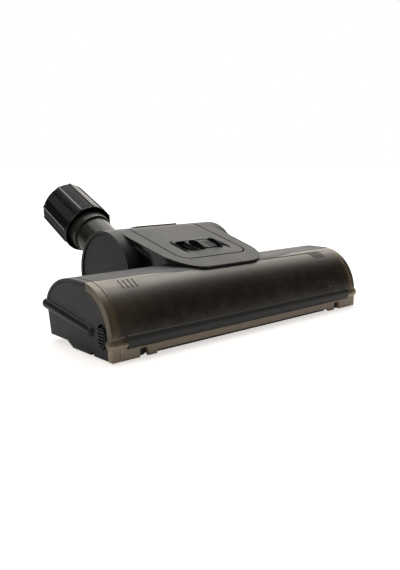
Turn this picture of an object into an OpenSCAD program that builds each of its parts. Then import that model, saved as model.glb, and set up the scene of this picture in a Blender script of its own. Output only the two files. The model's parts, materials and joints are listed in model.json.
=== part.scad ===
// Turbo brush for a vacuum cleaner: an air turbine in the drum drives a bristle roll
// through a toothed belt. Millimetres, +X across the head, +Y to the rear, +Z up,
// origin on the floor in the middle of the whole footprint.

/* [Head] */
// Width of the head over the hood
head_w = 272; // [250:1:300]
// Height of the head's top above the floor
head_h = 52; // [50:0.5:56]
// Depth of the head from the hood's foot to its rear edge
head_d = 89; // [87:0.5:94]
// Gap between the sole and the floor
sole_gap = 0.8; // [0.5:0.1:1.2]
// Wall of the moulded covers
wall = 2.4; // [2:0.1:2.8]
// Thickness of the black cheeks
cheek_t = 4; // [3.5:0.1:4.5]
// Radial depth of the hood's end rims
rim_t = 5.5; // [5:0.1:6]
// Height of the hood's skirt edge above the floor
skirt_h = 3.4; // [2.8:0.1:4]

/* [Turbine housing] */
// Outer radius of the drum
drum_r = 37.2; // [36.5:0.1:37.2]
// Width of the drum
drum_w = 125; // [122:1:130]
// Height of the turbine's axis above the floor
drum_z = 38; // [38:0.1:39]
// Height of the cover plate's front edge above the head's top
plate_rise = 0.3; // [0.2:0.1:0.8]
// Width of the cover plate
plate_w = 104; // [100:1:108]
// Thickness of the cover plate
plate_t = 3.2; // [3:0.1:3.6]

/* [Brush roll] */
// Radius over the bristle tips
brush_r = 22.2; // [21.5:0.1:22.2]
// Radius of the roll's core
core_r = 11; // [10.5:0.1:11.5]
// Bristle tufts along half a row
tufts_per_row = 14; // [10:1:15]
// Rows of tufts around the core
tuft_rows = 4; // [3:1:5]

/* [Turbine] */
// Blades on the impeller
blade_count = 14; // [10:1:18]
// Radius of the impeller
impeller_r = 28; // [26:0.5:30]

/* [Neck] */
// Rest angle of the neck above the floor in degrees
neck_tilt = 26; // [22:1:32]
// Outer radius of the neck tube
tube_r = 19.7; // [19.2:0.1:20]
// Radius of the pivot barrel
barrel_r = 22; // [21.6:0.1:22.2]
// Inner radius of the collet that takes the cleaner's tube
collet_bore_r = 17.5; // [16.5:0.1:18]
// Outer radius of the clamp nut over its ridges, near end
nut_r = 29.5; // [28.5:0.1:30.5]
// Length of the clamp nut
nut_len = 52.7; // [50:0.1:56]
// Raised ridges on the clamp nut
nut_ridges = 8; // [6:1:10]

/* [Wheels] */
// Radius of the rear wheels over their tyres
wheel_r = 12; // [11:0.1:12.5]
// Radius of the front rollers
roller_r = 4.4; // [4.1:0.1:4.6]

/* [Hidden] */
$fn = 64;

// Running gap round a shaft and the gap between faces that seat
fit = 0.05;
seat = 0.3;
eps = 0.01;
half_w = head_w / 2;
cheek_face = half_w - 0.3;
cheek_in = cheek_face - cheek_t;
rim_w = 6;

// The head's side profile: a front quarter ellipse, a flat top and a rear quarter ellipse
front_cy = 36;
front_cz = 13.5;
front_rz = head_h - front_cz;
rear_cy = head_d - 39;
rear_cz = 24;
rear_ry = head_d - rear_cy;
rear_rz = head_h - rear_cz;
arc_n = 20;
seam_y = 32;
seam_x = plate_w / 2;
under_h = 5;

// Turbine drum and cover plate
drum_y = head_d + 30.5;
drum_in = drum_r - 2.8;
half_drum = drum_w / 2;
plate_y = 24.5;
drum_reach = [drum_y - plate_y, drum_z - head_h - plate_rise];
plate_slope = atan2(drum_reach[1], drum_reach[0]) + asin(drum_r / norm(drum_reach));
drum_cut = drum_y - drum_r - 12;
tan_y = drum_y - drum_r * sin(plate_slope);
tan_z = drum_z + drum_r * cos(plate_slope);
plate_front = (plate_y - tan_y) / cos(plate_slope);
lid_w = plate_w - 28;
lid_front = (42.2 - tan_y) / cos(plate_slope);
lid_gap = 0.5;
lid_rear_angle = 8;
lid_reach = 90 * [cos(plate_slope), sin(plate_slope)];
pocket_x = 2;
pocket_v = (66.6 - tan_y) / cos(plate_slope);
pocket_w = 50;
pocket_l = 29;
pocket_d = 4;
plate_corner = [26, 34];
side_x = plate_w / 2 - 1.8;
riser_in = 2.6;
riser_x = plate_w / 2 - riser_in;

// Air slider: where it rests, how far it travels and its stem
slider_x = pocket_x + 4.5;
slider_travel = 9.5;
stem_w = 6;
stem_l = 4.6;
window_w = 12;

// Brush roll
brush_y = 33;
brush_z = brush_r + 0.3;
shaft_r = 3;
core_half = cheek_in - 9.6;
tunnel_r = brush_r + 2;
bar_y = wall + 1.2;
mouth_y = brush_y + 16;
ramp_a = [brush_y + 18, sole_gap];
ramp_b = [brush_y + 26.3, under_h];
belt_x = half_drum - 8.5;
belt_w = 6;
pulley_r = core_r + 2.2;
pulley_teeth = 24;
pinion_r = 6.6;
pinion_teeth = 12;
belt_t = 1.6;
belt_lift = 0.3;

// Turbine
t_shaft_r = 2.5;
bearing_r = 6.5;
bearing_w = 5;
plate_x = half_drum - 19.5;
impeller_x = -half_drum + 19.5;
impeller_len = plate_x - 12 - impeller_x;
impeller_hub = 6.5;
impeller_disc = 1.6;

// Neck: pivot barrel, tube, collet and clamp nut
pivot_y = drum_y + drum_r + barrel_r + 3.3;
pivot_z = 33.2;
pivot_half = 25.8;
trunnion_r = 6;
arm_t = 6;
arm_in = pivot_half + 0.4;
socket_r = barrel_r + 0.4;
socket_t = 2.6;
swivel_s = barrel_r + 2.2;
spigot_r = tube_r - 3.2;
air_r = spigot_r - 2.2;
thread_s = 56.8;
thread_r = tube_r + 2.1;
nut_s = 66.8;
nut_end_r = nut_r - 1.5;
ridge_h = 1.1;
nut_end = nut_s + nut_len;
collet_s = nut_s + 12;

// Latch button, in a pocket in each cheek
button_y = 12.6;
button_z = 15.8;
button_w = 9.6;
button_h = 14.6;
latch_travel = 2.2;
button_proud = 1.2;
tongue_h = 10;
spring_z = button_z + tongue_h / 2;
spring_top = spring_z + 7.2;

// Wheels and rollers
wheel_y = pivot_y - 6;
wheel_x0 = arm_in + arm_t + 1;
wheel_w = 8;
axle_r = 2.5;
roller_y = 8.8;
roller_x = half_w - 34.5;
roller_w = 10;
pin_r = 1.4;

// Front bumper and its corner knobs
bump_z = 13.4;
bump_h = 10;
bump_out = 2.4;
knob_r = 4.8;
bump_half = half_w - 12;
grip_y = 18;
grip_l = 9.5;

// Screws that hold the rear cover to the base
screw_x = [seam_x + 23, half_w - 18];
screw_y = head_d - 19;
post_z = under_h + wall + seat;

// The origin sits in the middle of the footprint
rear_end = pivot_y + nut_end * cos(neck_tilt) + (nut_end_r - ridge_h) * sin(neck_tilt);
mid_y = (rear_end - bump_out) / 2;

// Placing helpers
module head() translate([0, -mid_y, 0]) children();
module along_x(x0, x1) translate([x0, 0, 0]) rotate([90, 0, 90]) linear_extrude(x1 - x0) children();
module rod_x(x0, x1, y, z, r) translate([x0, y, z]) rotate([0, 90, 0]) cylinder(h = x1 - x0, r = r);
module round_rod(r, len) rotate_extrude() polygon(concat(
    [[0, 0]], [for (i = [1:6]) let (a = 15 * i) [r * sin(a), r - r * cos(a)]],
    [for (i = [6:-1:1]) let (a = 15 * i) [r * sin(a), len - r + r * cos(a)]], [[0, len]]));
module block(x0, x1, y0, y1, z0, z1) translate([x0, y0, z0]) cube([x1 - x0, y1 - y0, z1 - z0]);
module on_plate() translate([0, tan_y, tan_z]) rotate([plate_slope, 0, 0]) children();
module on_neck() translate([0, pivot_y, pivot_z]) rotate([neck_tilt - 90, 0, 0]) children();
module both() { children(); mirror([1, 0, 0]) children(); }

// Points of the side profile, inset by t
function front_arc(t, a0, a1) = [for (i = [0:arc_n]) let (a = a0 + (a1 - a0) * i / arc_n)
    [front_cy - (front_cy - t) * cos(a), front_cz + (front_rz - t) * sin(a)]];
function rear_arc(t, a0, a1) = [for (i = [0:arc_n]) let (a = a0 + (a1 - a0) * i / arc_n)
    [rear_cy + (rear_ry - t) * cos(a), rear_cz + (rear_rz - t) * sin(a)]];
function rear_z(t, y) = rear_cz + (rear_rz - t) * sqrt(1 - pow((y - rear_cy) / (rear_ry - t), 2));
function front_z(t, y) = front_cz + (front_rz - t) * sqrt(1 - pow((front_cy - y) / (front_cy - t), 2));
function round_rect(w, l, r) = [for (q = [0:3], i = [0:8]) let (a = 90 * q + 90 * i / 8)
    [(q == 0 || q == 3 ? 1 : -1) * (w / 2 - r) + r * cos(a), (q < 2 ? 1 : -1) * (l / 2 - r) + r * sin(a)]];

// Sector of a tube along X, from angle a0 to a1 about a centre
module sector_x(x0, x1, y, z, r0, r1, a0, a1) along_x(x0, x1) translate([y, z]) intersection() {
    difference() { circle(r1); circle(r0); }
    polygon(concat([[0, 0]], [for (i = [0:6]) let (a = a0 + (a1 - a0) * i / 6) 2 * r1 * [cos(a), sin(a)]]));
}

// Outline of the cover plate, shrunk by t: elliptic front corners and nearly straight sides
function plate_half(t) = concat(
    [for (i = [0:12]) let (a = 270 + 90 * i / 12)
        [side_x - plate_corner[0] + (plate_corner[0] - t) * cos(a),
            plate_y + plate_corner[1] + (plate_corner[1] - t) * sin(a)]],
    [[plate_w / 2 - t, drum_y - 26], [plate_w / 2 - t, tan_y - 0.5]]);
function plate_edge(t) = let (half = plate_half(t))
    concat(half, [for (i = [len(half) - 1:-1:0]) [-half[i][0], half[i][1]]]);
module plate_outline(t) polygon([for (p = plate_edge(t)) [p[0], (p[1] - tan_y) / cos(plate_slope)]]);

// Outline of the lid in the same plane, grown by t
module lid_outline(t, rear) {
    r = 12;
    c = lid_w / 2 - r;
    polygon(concat(
        [for (i = [0:6]) let (a = 270 + 90 * i / 6)
            [c + (r + t) * cos(a), lid_front + r + (r + t) * sin(a)]],
        [[lid_w / 2 + t, rear], [-lid_w / 2 - t, rear]],
        [for (i = [0:6]) let (a = 180 + 90 * i / 6)
            [-c + (r + t) * cos(a), lid_front + r + (r + t) * sin(a)]]));
}

// Outer side of the shell that the hood and rear cover share, and its inner side
module shell_profile(t, floor_z) polygon(concat(
    [[t, floor_z]], front_arc(t, 0, 90), rear_arc(t, 90, 0), [[head_d - 4 - t, floor_z]]));

// The same side from the front's upper part to the rear, for the rear cover
module rear_profile(t, floor_z) polygon(concat(
    [[14, floor_z]], front_arc(t, 60, 90), rear_arc(t, 90, 0),
    floor_z < rear_cz ? [[head_d - t, floor_z]] : []));

// Footprint that belongs to the rear cover: everything behind the seam
module rear_region(gap) polygon([
    [-head_w, seam_y + gap], [-seam_x - 32, seam_y + gap], [-seam_x - 18, seam_y - 2 + gap],
    [-seam_x + 4, seam_y - 5 + gap], [seam_x - 4, seam_y - 5 + gap], [seam_x + 18, seam_y - 2 + gap],
    [seam_x + 32, seam_y + gap], [head_w, seam_y + gap], [head_w, 3 * head_d], [-head_w, 3 * head_d]]);

// Oval of the latch pocket and button
module latch_oval(w, h) hull() {
    translate([0, (h - w) / 2]) circle(d = w, $fn = 32);
    translate([0, (w - h) / 2]) circle(d = w, $fn = 32);
}

// Sealing groove near the ends of the hood and rear cover
module band_groove() both() along_x(half_w - rim_w - 0.4, half_w - rim_w + 0.4) difference() {
    shell_profile(-1, -5);
    shell_profile(0.5, -6);
}

module hood() color([0.30, 0.26, 0.20, 0.75]) head() {
    difference() {
        union() {
            along_x(-half_w, half_w) hood_section(wall);
            both() along_x(half_w - rim_w, half_w) hood_section(rim_t);
            both() translate([bump_half - 4, knob_r - bump_out, bump_z]) rotate([0, 90, 0])
                round_rod(knob_r, half_w - bump_half + 6.8);
        }
        translate([0, 0, -1]) linear_extrude(100) rear_region(-seat / 2);
        band_groove();
        // Inside of the shell stays clear behind the knobs
        along_x(-half_w - 9, half_w + 9) polygon(concat([[rim_t, -1]], front_arc(rim_t, 0, 90), [[60, -1]]));
        // Skirt edge between the feet
        block(-half_w + 38, half_w - 38, -5, 20, -1, skirt_h);
        // Windows beside the feet
        both() block(half_w - 30, half_w - 23, -5, 20, -1, 7.2);
        // Seat of the front bumper
        block(-bump_half - 0.2, bump_half + 0.2, -5, 0.8, bump_z - bump_h / 2, bump_z + bump_h / 2);
    }
    // Grip ribs near the top corners
    both() intersection() {
        along_x(half_w - 44, half_w - 20) difference() {
            shell_profile(-0.5, sole_gap);
            shell_profile(1, -1);
        }
        for (i = [0:3]) translate([half_w - 24 - 4 * i, grip_y, head_h - 14]) rotate([0, 0, 8])
            cube([1.3, grip_l, 20]);
    }
}

// Hood wall of thickness t from its foot over the top
module hood_section(t) difference() {
    shell_profile(0, sole_gap);
    polygon(concat([[t, -1]], front_arc(t, 0, 90), rear_arc(t, 90, 0), [[head_d, -1]]));
}

module rear_cover() color([0.17, 0.17, 0.17]) head() {
    difference() {
        union() {
            along_x(-half_w, half_w) difference() {
                rear_profile(0, rear_cz);
                rear_profile(wall, -1);
            }
            // Screw posts under the cover
            both() for (x = screw_x) translate([x, screw_y, post_z])
                cylinder(h = rear_z(wall - 1, screw_y) - post_z, r = 3.6);
        }
        translate([0, 0, -1]) linear_extrude(100) difference() {
            square(600, center = true);
            rear_region(seat / 2);
        }
        band_groove();
        // Clearance for the cover plate's riser and the drum
        linear_extrude(2 * head_h) riser_outline(-seat);
        block(-riser_x - seat, riser_x + seat, head_d - 15, 2 * head_d, 0, 2 * head_h);
        rod_x(-half_drum - seat, half_drum + seat, drum_y, drum_z, drum_r + seat);
        belt_way();
        both() for (x = screw_x) translate([x, screw_y, 0]) cylinder(h = 22, r = 1.5);
    }
}

// Cheek outline, inside the hood's rim at the front and inside the rear cover behind
module cheek_outline() polygon(concat(
    [[rim_t + seat, sole_gap]],
    [[rim_t + seat, front_cz]],
    [for (p = front_arc(rim_t + seat, 0, 90)) if (p[0] < seam_y && p[1] > front_cz) p],
    [[seam_y + 0.4, front_z(rim_t + seat, seam_y + 0.4)], [seam_y + 0.4, front_z(wall + seat, seam_y + 0.4)]],
    rear_arc(wall + seat, 90, 0),
    [[head_d - 4 - wall, under_h], ramp_b, ramp_a]));

module base_housing() color([0.20, 0.20, 0.20]) head() {
    difference() {
        union() {
            both() along_x(cheek_in, cheek_face) cheek_outline();
            sole();
            brush_tunnel();
            lower_drum();
            yoke();
            both() bearing_seat();
            // Ledge above each latch spring
            both() block(cheek_in - 2.6, cheek_in + eps, button_y - 2.7, button_y + 3.4,
                spring_top, spring_top + 1.4);
            both() for (x = screw_x) translate([x, screw_y, under_h]) cylinder(h = wall, r = 6);
        }
        // Latch pockets, with a slot for the button's stem
        both() along_x(cheek_face - 2.6, cheek_face + 1) translate([button_y, button_z + latch_travel / 2])
            latch_oval(button_w + 1.2, button_h + latch_travel + 1.2);
        both() along_x(cheek_in - 1, cheek_face) translate([button_y - 2.3, button_z - 4.3])
            square([4.6, 8.6 + latch_travel]);
        // Roller pockets and the pins' holes
        both() block(roller_x - roller_w / 2 - 0.5, roller_x + roller_w / 2 + 0.5, 3.6, 14, -1, 20);
        both() rod_x(roller_x - 9, roller_x + 9, roller_y, roller_r, pin_r);
        // Trunnion bores and axle bores
        rod_x(-60, 60, pivot_y, pivot_z, trunnion_r + fit);
        rod_x(-60, 60, wheel_y, wheel_r, axle_r);
        // Screw holes and head pockets
        both() for (x = screw_x) translate([x, screw_y, 0]) cylinder(h = 20, r = 1.7);
        both() for (x = screw_x) translate([x, screw_y, 0]) cylinder(h = under_h + 1, r = 3.5);
        belt_way();
        // Room for the hood's end rims beside the front bar
        both() block(half_w - rim_w - seat, cheek_in, 0, rim_t + seat, -1, 20);
        // Small notch in each cheek's lower edge
        both() block(cheek_in - 1, cheek_face + 1, 23.6, 27.2, -1, 3.2);
    }
}

// Floor of the head, with the suction mouth between its two bars
module sole() {
    along_x(-cheek_in, cheek_in) polygon([[bar_y, sole_gap], [bar_y + 10.9, sole_gap], [bar_y + 10.9, 6],
        [bar_y + 8.4, 8.4], [bar_y, 8.4]]);
    along_x(-cheek_in, cheek_in) polygon([[mouth_y, sole_gap], ramp_a, ramp_b, [head_d - 5, under_h],
        [head_d - 5, under_h + wall], ramp_b + [-1, wall], ramp_a + [-1, wall], [mouth_y, sole_gap + wall]]);
    along_x(-half_drum, half_drum) polygon([[head_d - 6, under_h], [drum_y - 18, under_h],
        [drum_y - 20, under_h + wall], [head_d - 6, under_h + wall]]);
    both() along_x(half_drum - wall, cheek_in) polygon([
        [head_d - 7, under_h], [head_d - 4 - wall, under_h], [head_d - wall - seat, rear_cz - seat],
        [head_d - 2 * wall, rear_cz - seat], [head_d - 7, under_h + wall]]);
}

// Wall behind the brush roll, up to the underside of the covers
module brush_tunnel() difference() {
    union() {
        sector_x(-cheek_in, cheek_in, brush_y, brush_z, tunnel_r, tunnel_r + wall, -48, 66);
        block(-cheek_in, cheek_in, brush_y + 8.5, brush_y + 8.5 + wall, brush_z + 21.5, head_h - wall - seat);
    }
    rod_x(-cheek_in - 1, cheek_in + 1, brush_y, brush_z, tunnel_r);
    // Air windows towards the turbine
    block(impeller_x + 7, plate_x - 9, brush_y + 12, brush_y + 37, brush_z - 0.5, brush_z + 15.5);
}

// Lower half of the turbine drum
module lower_drum() difference() {
    union() {
        rod_x(-half_drum, half_drum, drum_y, drum_z, drum_r);
        block(-arm_in - arm_t, arm_in + arm_t, drum_y + 28, pivot_y - barrel_r + 1, 8, rear_cz);
    }
    rod_x(-half_drum - 1, half_drum + 1, drum_y, drum_z, drum_in);
    block(-head_w, head_w, drum_cut, 3 * head_d, rear_cz - seat / 2, 2 * head_h);
    rod_x(-pivot_half - 1, pivot_half + 1, pivot_y, pivot_z, socket_r);
}

// Arms that carry the neck's trunnions and the rear wheels
module yoke() {
    both() difference() {
        along_x(arm_in, arm_in + arm_t) {
            translate([pivot_y, pivot_z]) circle(13);
            translate([wheel_y, wheel_r]) circle(6.5);
            polygon([[drum_y + 26, 8], [wheel_y, 5.5], [pivot_y + 8, 22], [pivot_y, pivot_z + 13],
                [drum_y + 34.5, pivot_z + 11]]);
        }
        rod_x(0, half_drum, drum_y, drum_z, drum_in + 1);
        intersection() {
            rod_x(0, half_drum, drum_y, drum_z, drum_r + seat);
            block(0, half_drum, 0, 300, rear_cz - seat / 2, 100);
        }
    }
    sector_x(-arm_in, arm_in, pivot_y, pivot_z, socket_r, socket_r + socket_t, 202, 292);
}

// Seat round each brush bearing, on the cheek's inner face
module bearing_seat() difference() {
    block(cheek_in - 5.5, cheek_in + eps, brush_y - 9.4, brush_y + 9.4, brush_z - 9.4, brush_z + 9.4);
    block(cheek_in - 6, cheek_in, brush_y - 7.1, brush_y + 7.1, brush_z - 7.1, brush_z + 12);
}

module upper_housing() color([0.24, 0.24, 0.24]) head() {
    difference() {
        union() {
            difference() {
                on_plate() translate([0, 0, -plate_t]) linear_extrude(plate_t - 0.02) plate_outline(0);
                // The plate's rim rests on the covers in front
                difference() {
                    along_x(-plate_w, plate_w) shell_profile(-seat, 0);
                    linear_extrude(2 * head_h) riser_outline(0);
                }
            }
            riser();
            drum_top();
            spine();
        }
        // Opening for the lid, with a ledge under its edge
        lid_body(lid_gap, drum_r - wall, drum_r + 8, lid_rear_angle + 0.8);
        on_plate() translate([0, 0, -20]) linear_extrude(40) lid_outline(-3, -6);
        rod_x(-half_drum - 1, half_drum + 1, drum_y, drum_z, drum_in);
        belt_way();
        // Clearance for the barrel and the air way to it
        rod_x(-pivot_half - 0.4, pivot_half + 0.4, pivot_y, pivot_z, socket_r);
        block(-13, 13, drum_y + 25, pivot_y, 27, 43);
    }
}

// Walls under the plate that close the air way down to the base
module riser() difference() {
    intersection() {
        difference() {
            translate([0, 0, rear_cz]) linear_extrude(70) difference() {
                riser_outline(0);
                riser_outline(wall);
            }
            block(-100, 100, 0, brush_y + tunnel_r + wall + seat, 0, head_h - wall + seat);
        }
        on_plate() translate([-100, -120, -100]) cube([200, 150, 100 - plate_t / 2]);
    }
    rod_x(-half_drum, half_drum, drum_y, drum_z, drum_in + 1);
}

// Footprint of the riser, shrunk by t
module riser_outline(t) difference() {
    union() {
        polygon(plate_edge(riser_in + t));
        translate([-riser_x + t, tan_y - 1]) square([2 * riser_x - 2 * t, drum_y - tan_y]);
    }
    translate([-head_w, -head_d]) square([2 * head_w, head_d + seam_y + 1 + t]);
}

module drum_top() difference() {
    rod_x(-half_drum, half_drum, drum_y, drum_z, drum_r);
    rod_x(-half_drum - 1, half_drum + 1, drum_y, drum_z, drum_in);
    block(-head_w, head_w, drum_cut, 3 * head_d, -5, rear_cz + seat / 2);
}

// Raised band behind the drum that runs down to the neck's socket
module spine() difference() {
    union() {
        sector_x(-24, 24, drum_y, drum_z, drum_in + 1, drum_r + 1.2, -22, 85);
        along_x(-arm_in + seat, arm_in - seat) polygon([[drum_y + 33, rear_cz + seat / 2],
            [pivot_y - barrel_r - socket_t, rear_cz + seat / 2], [pivot_y - barrel_r + 2, pivot_z + 12],
            [drum_y + 29, pivot_z + 14]]);
        sector_x(-arm_in + seat, arm_in - seat, pivot_y, pivot_z, socket_r, socket_r + socket_t, 152, 200);
    }
    rod_x(-60, 60, drum_y, drum_z, drum_in);
    block(-head_w, head_w, drum_cut, 3 * head_d, -5, rear_cz + seat / 2);
    rod_x(-pivot_half - 0.4, pivot_half + 0.4, pivot_y, pivot_z, socket_r);
}

// Side of the lid: level with the cover plate, then over the drum's apex, between two radii
function lid_side(r, rear) = [for (i = [0:8]) let (a = 90 - rear + (rear + plate_slope) * i / 8)
    [drum_y + r * cos(a), drum_z + r * sin(a)]];
module lid_body(grow, r0, r1, rear) intersection() {
    along_x(-plate_w / 2, plate_w / 2) polygon(concat(
        lid_side(r1, rear), [lid_side(r1, 0)[8] - lid_reach], [lid_side(r0, 0)[8] - lid_reach],
        [for (i = [8:-1:0]) lid_side(r0, rear)[i]]));
    on_plate() translate([0, 0, -40]) linear_extrude(80) lid_outline(grow, 30);
}

module turbine_lid() color([0.26, 0.26, 0.26]) head() difference() {
    union() {
        lid_body(0, drum_r - wall + 0.1, drum_r, lid_rear_angle);
        on_plate() translate([pocket_x, pocket_v, -pocket_d - 1.8]) linear_extrude(pocket_d + 1)
            polygon(round_rect(pocket_w + 4, pocket_l + 4, 9));
    }
    on_plate() translate([pocket_x, pocket_v, -pocket_d]) linear_extrude(20)
        polygon(round_rect(pocket_w, pocket_l, 7));
    // By-pass window and the slider's guide slot
    on_plate() translate([pocket_x - pocket_w / 2 + 3, pocket_v - 9, -20]) cube([window_w, 18, 40]);
    on_plate() translate([slider_x - slider_travel - stem_w / 2 - seat, pocket_v - stem_l / 2 - seat, -20])
        cube([slider_travel + stem_w + 2 * seat, stem_l + 2 * seat, 40]);
}

// Shutter that slides across the by-pass window, with a ribbed thumb piece
module air_slider() color([0.10, 0.10, 0.10]) head() on_plate() translate([slider_x, pocket_v, -pocket_d]) {
    difference() {
        union() {
            translate([0, 0, 0.1]) linear_extrude(1.4) polygon(round_rect(34, 23, 5));
            thumb_piece();
            translate([0, 0, -2]) linear_extrude(2.2) square([stem_w, stem_l], center = true);
        }
        // Hollow under each thumb rest
        both() translate([10.4, 0, -4]) linear_extrude(8) polygon(round_rect(4, 12, 1.9));
    }
    translate([0, 0, -3.4]) linear_extrude(1.5) square([12, 8.6], center = true);
}

// Saddle of the thumb piece: two raised ends and ribs in the hollow between them
module thumb_piece() {
    along = 19;
    translate([0, along / 2, 1.4]) rotate([90, 0, 0]) linear_extrude(along) polygon(concat(
        [[-13, 0], [-12.2, 3.6], [-9, 5.4], [-6.4, 4.8]],
        [for (i = [-5:5]) [i, 2.4 + 0.05 * i * i + (i % 2 == 0 ? 0.7 : 0)]],
        [[6.4, 4.8], [9, 5.4], [12.2, 3.6], [13, 0]]));
}

module end_disc(side) mirror([side < 0 ? 1 : 0, 0, 0]) {
    rod_x(half_drum - 3.6, half_drum - 1.2, drum_y, drum_z, drum_in - 0.2);
    difference() {
        rod_x(half_drum - 4.6, half_drum - 3.6, drum_y, drum_z, drum_in - 0.2);
        rod_x(half_drum - 9, half_drum - 3.6, drum_y, drum_z, drum_in - 2);
    }
}
module end_disc_left() color([0.20, 0.20, 0.20]) head() {
    end_disc(-1);
    difference() {
        rod_x(-half_drum + 3.6, -half_drum + 9.6, drum_y, drum_z, bearing_r + 2.4);
        rod_x(-half_drum + 3.6, -half_drum + 10, drum_y, drum_z, bearing_r);
    }
}
module end_disc_right() color([0.20, 0.20, 0.20]) head() end_disc(1);

// Round wall between the turbine and the belt, with the second bearing's seat
module bearing_plate() color([0.22, 0.22, 0.22]) head() difference() {
    union() {
        rod_x(plate_x - 2.6, plate_x, drum_y, drum_z, drum_in - 0.2);
        rod_x(plate_x - bearing_w - 0.6, plate_x, drum_y, drum_z, bearing_r + 2.4);
    }
    rod_x(plate_x - bearing_w - 2, plate_x - 0.8, drum_y, drum_z, bearing_r);
    rod_x(plate_x - 2, plate_x + 2, drum_y, drum_z, t_shaft_r + 1.2);
}

// Ball bearing with its grooved side
module bearing(x0) head() translate([x0, drum_y, drum_z]) rotate([0, 90, 0]) difference() {
    cylinder(h = bearing_w, r = bearing_r);
    translate([0, 0, -1]) cylinder(h = bearing_w + 2, r = t_shaft_r + fit);
    for (z = [-0.6, bearing_w - 0.4]) translate([0, 0, z]) difference() {
        cylinder(h = 1, r = bearing_r - 1.2);
        translate([0, 0, -1]) cylinder(h = 3, r = t_shaft_r + 1.1);
    }
}
module turbine_bearing_left() color([0.75, 0.76, 0.78]) bearing(-half_drum + 3.7);
module turbine_bearing_right() color([0.75, 0.76, 0.78]) bearing(plate_x - 0.8 - bearing_w);

module turbine_shaft() color([0.7, 0.7, 0.72]) head()
    rod_x(-half_drum + 4.6, belt_x + 4.4, drum_y, drum_z, t_shaft_r);

module turbine_impeller() color([0.85, 0.84, 0.80]) head()
    translate([impeller_x, drum_y, drum_z]) rotate([0, 90, 0]) difference() {
        union() {
            cylinder(h = impeller_len, r = impeller_hub);
            for (x = [2, impeller_len / 2 - 1, impeller_len - 4]) translate([0, 0, x])
                cylinder(h = impeller_disc, r = impeller_r);
            for (i = [0:blade_count - 1]) rotate([0, 0, 360 * i / blade_count]) translate([0, 0, 2])
                linear_extrude(impeller_len - 6 + impeller_disc) blade();
        }
        translate([0, 0, -1]) cylinder(h = impeller_len + 2, r = t_shaft_r);
    }

// Curved section of one turbine blade, from the hub to the tip
module blade() {
    n = 6;
    root = impeller_hub - 1;
    reach = impeller_r - 0.2 - root;
    polygon(concat(
        [for (i = [0:n]) let (r = root + reach * i / n, a = 26 * pow(i / n, 2)) r * [cos(a), sin(a)]],
        [for (i = [n:-1:0]) let (r = root + reach * i / n, a = 26 * pow(i / n, 2) + 80 / r)
            r * [cos(a), sin(a)]]));
}

// Toothed wheel about the X axis
module toothed(r, teeth, depth, w) difference() {
    rotate([0, 90, 0]) cylinder(h = w, r = r);
    for (i = [0:teeth - 1]) rotate([360 * i / teeth, 0, 0]) translate([-1, -r * 0.13, r - depth])
        cube([w + 2, r * 0.26 * 12 / teeth * 1.8, depth + 1]);
}

module drive_pinion() color([0.82, 0.80, 0.74]) head() translate([belt_x - 4, drum_y, drum_z]) difference() {
    union() {
        toothed(pinion_r, pinion_teeth, 1.1, 8);
        rotate([0, 90, 0]) cylinder(h = 0.8, r = pinion_r + 1.4);
        translate([7.2, 0, 0]) rotate([0, 90, 0]) cylinder(h = 0.8, r = pinion_r + 1.4);
    }
    translate([-1, 0, 0]) rotate([0, 90, 0]) cylinder(h = 12, r = t_shaft_r);
}

module brush_pulley() color([0.82, 0.80, 0.74]) head()
    translate([belt_x - 4, brush_y, brush_z]) difference() {
    union() {
        toothed(pulley_r, pulley_teeth, 1.1, 8);
        rotate([0, 90, 0]) cylinder(h = 0.8, r = pulley_r + 1.4);
        translate([7.2, 0, 0]) rotate([0, 90, 0]) cylinder(h = 0.8, r = pulley_r + 1.4);
    }
    translate([-1, 0, 0]) rotate([0, 90, 0]) cylinder(h = 12, r = core_r);
}

// Belt: two arcs round the wheels and two straight runs, with teeth along the inside of the runs
module drive_belt() color([0.06, 0.06, 0.06]) head() translate([0, brush_y, brush_z])
    rotate([atan2(drum_z - brush_z, drum_y - brush_y), 0, 0])
        along_x(belt_x - belt_w / 2, belt_x + belt_w / 2) difference() {
            polygon(concat(belt_line(belt_t, 1, 0), belt_line(belt_t, -1, 0)));
            polygon(concat(belt_line(0, 1, 0.85), belt_line(0, -1, 0.85)));
        }

// Half of the belt's outline at distance t from the wheels: pinion arc, run with teeth, pulley arc
function belt_line(t, side, tooth) = let (
    r0 = pulley_r + belt_lift + t,
    r1 = pinion_r + belt_lift + t,
    gap = norm([drum_y - brush_y, drum_z - brush_z]),
    wrap = asin((r0 - r1) / gap),
    run = gap * cos(wrap),
    way = [cos(wrap), -sin(wrap)],
    out = [sin(wrap), cos(wrap)],
    upper = concat(
        [for (i = [0:12]) let (a = (90 - wrap) * i / 12) [gap + r1 * cos(a), r1 * sin(a)]],
        tooth > 0 ? [for (i = [20:-1:4], k = [0:3]) let (along = run * (i + 0.5) / 25 + (k < 2 ? 0.8 : -0.8))
            along * way + (r0 - (k == 1 || k == 2 ? tooth : 0)) * out] : [],
        [for (i = [0:20]) let (a = 90 - wrap + (90 + wrap) * i / 20) [r0 * cos(a), r0 * sin(a)]]))
    side > 0 ? upper : [for (i = [len(upper) - 2:-1:1]) [upper[i][0], -upper[i][1]]];

// Space that the belt runs through, from the roll to the pinion
module belt_way() along_x(belt_x - belt_w / 2 - 1, belt_x + belt_w / 2 + 1) polygon([
    [brush_y, brush_z - pulley_r - 3.5], [drum_y, drum_z - pinion_r - 4.5],
    [drum_y, drum_z + pinion_r + 4.5], [brush_y, brush_z + pulley_r + 3.5]]);

module brush_core() color([0.30, 0.30, 0.31]) head() difference() {
    union() {
        rod_x(-core_half, core_half, brush_y, brush_z, core_r);
        both() rod_x(core_half - 3, core_half, brush_y, brush_z, core_r + 3);
    }
    rod_x(-core_half - 1, core_half + 1, brush_y, brush_z, shaft_r);
}

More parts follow.
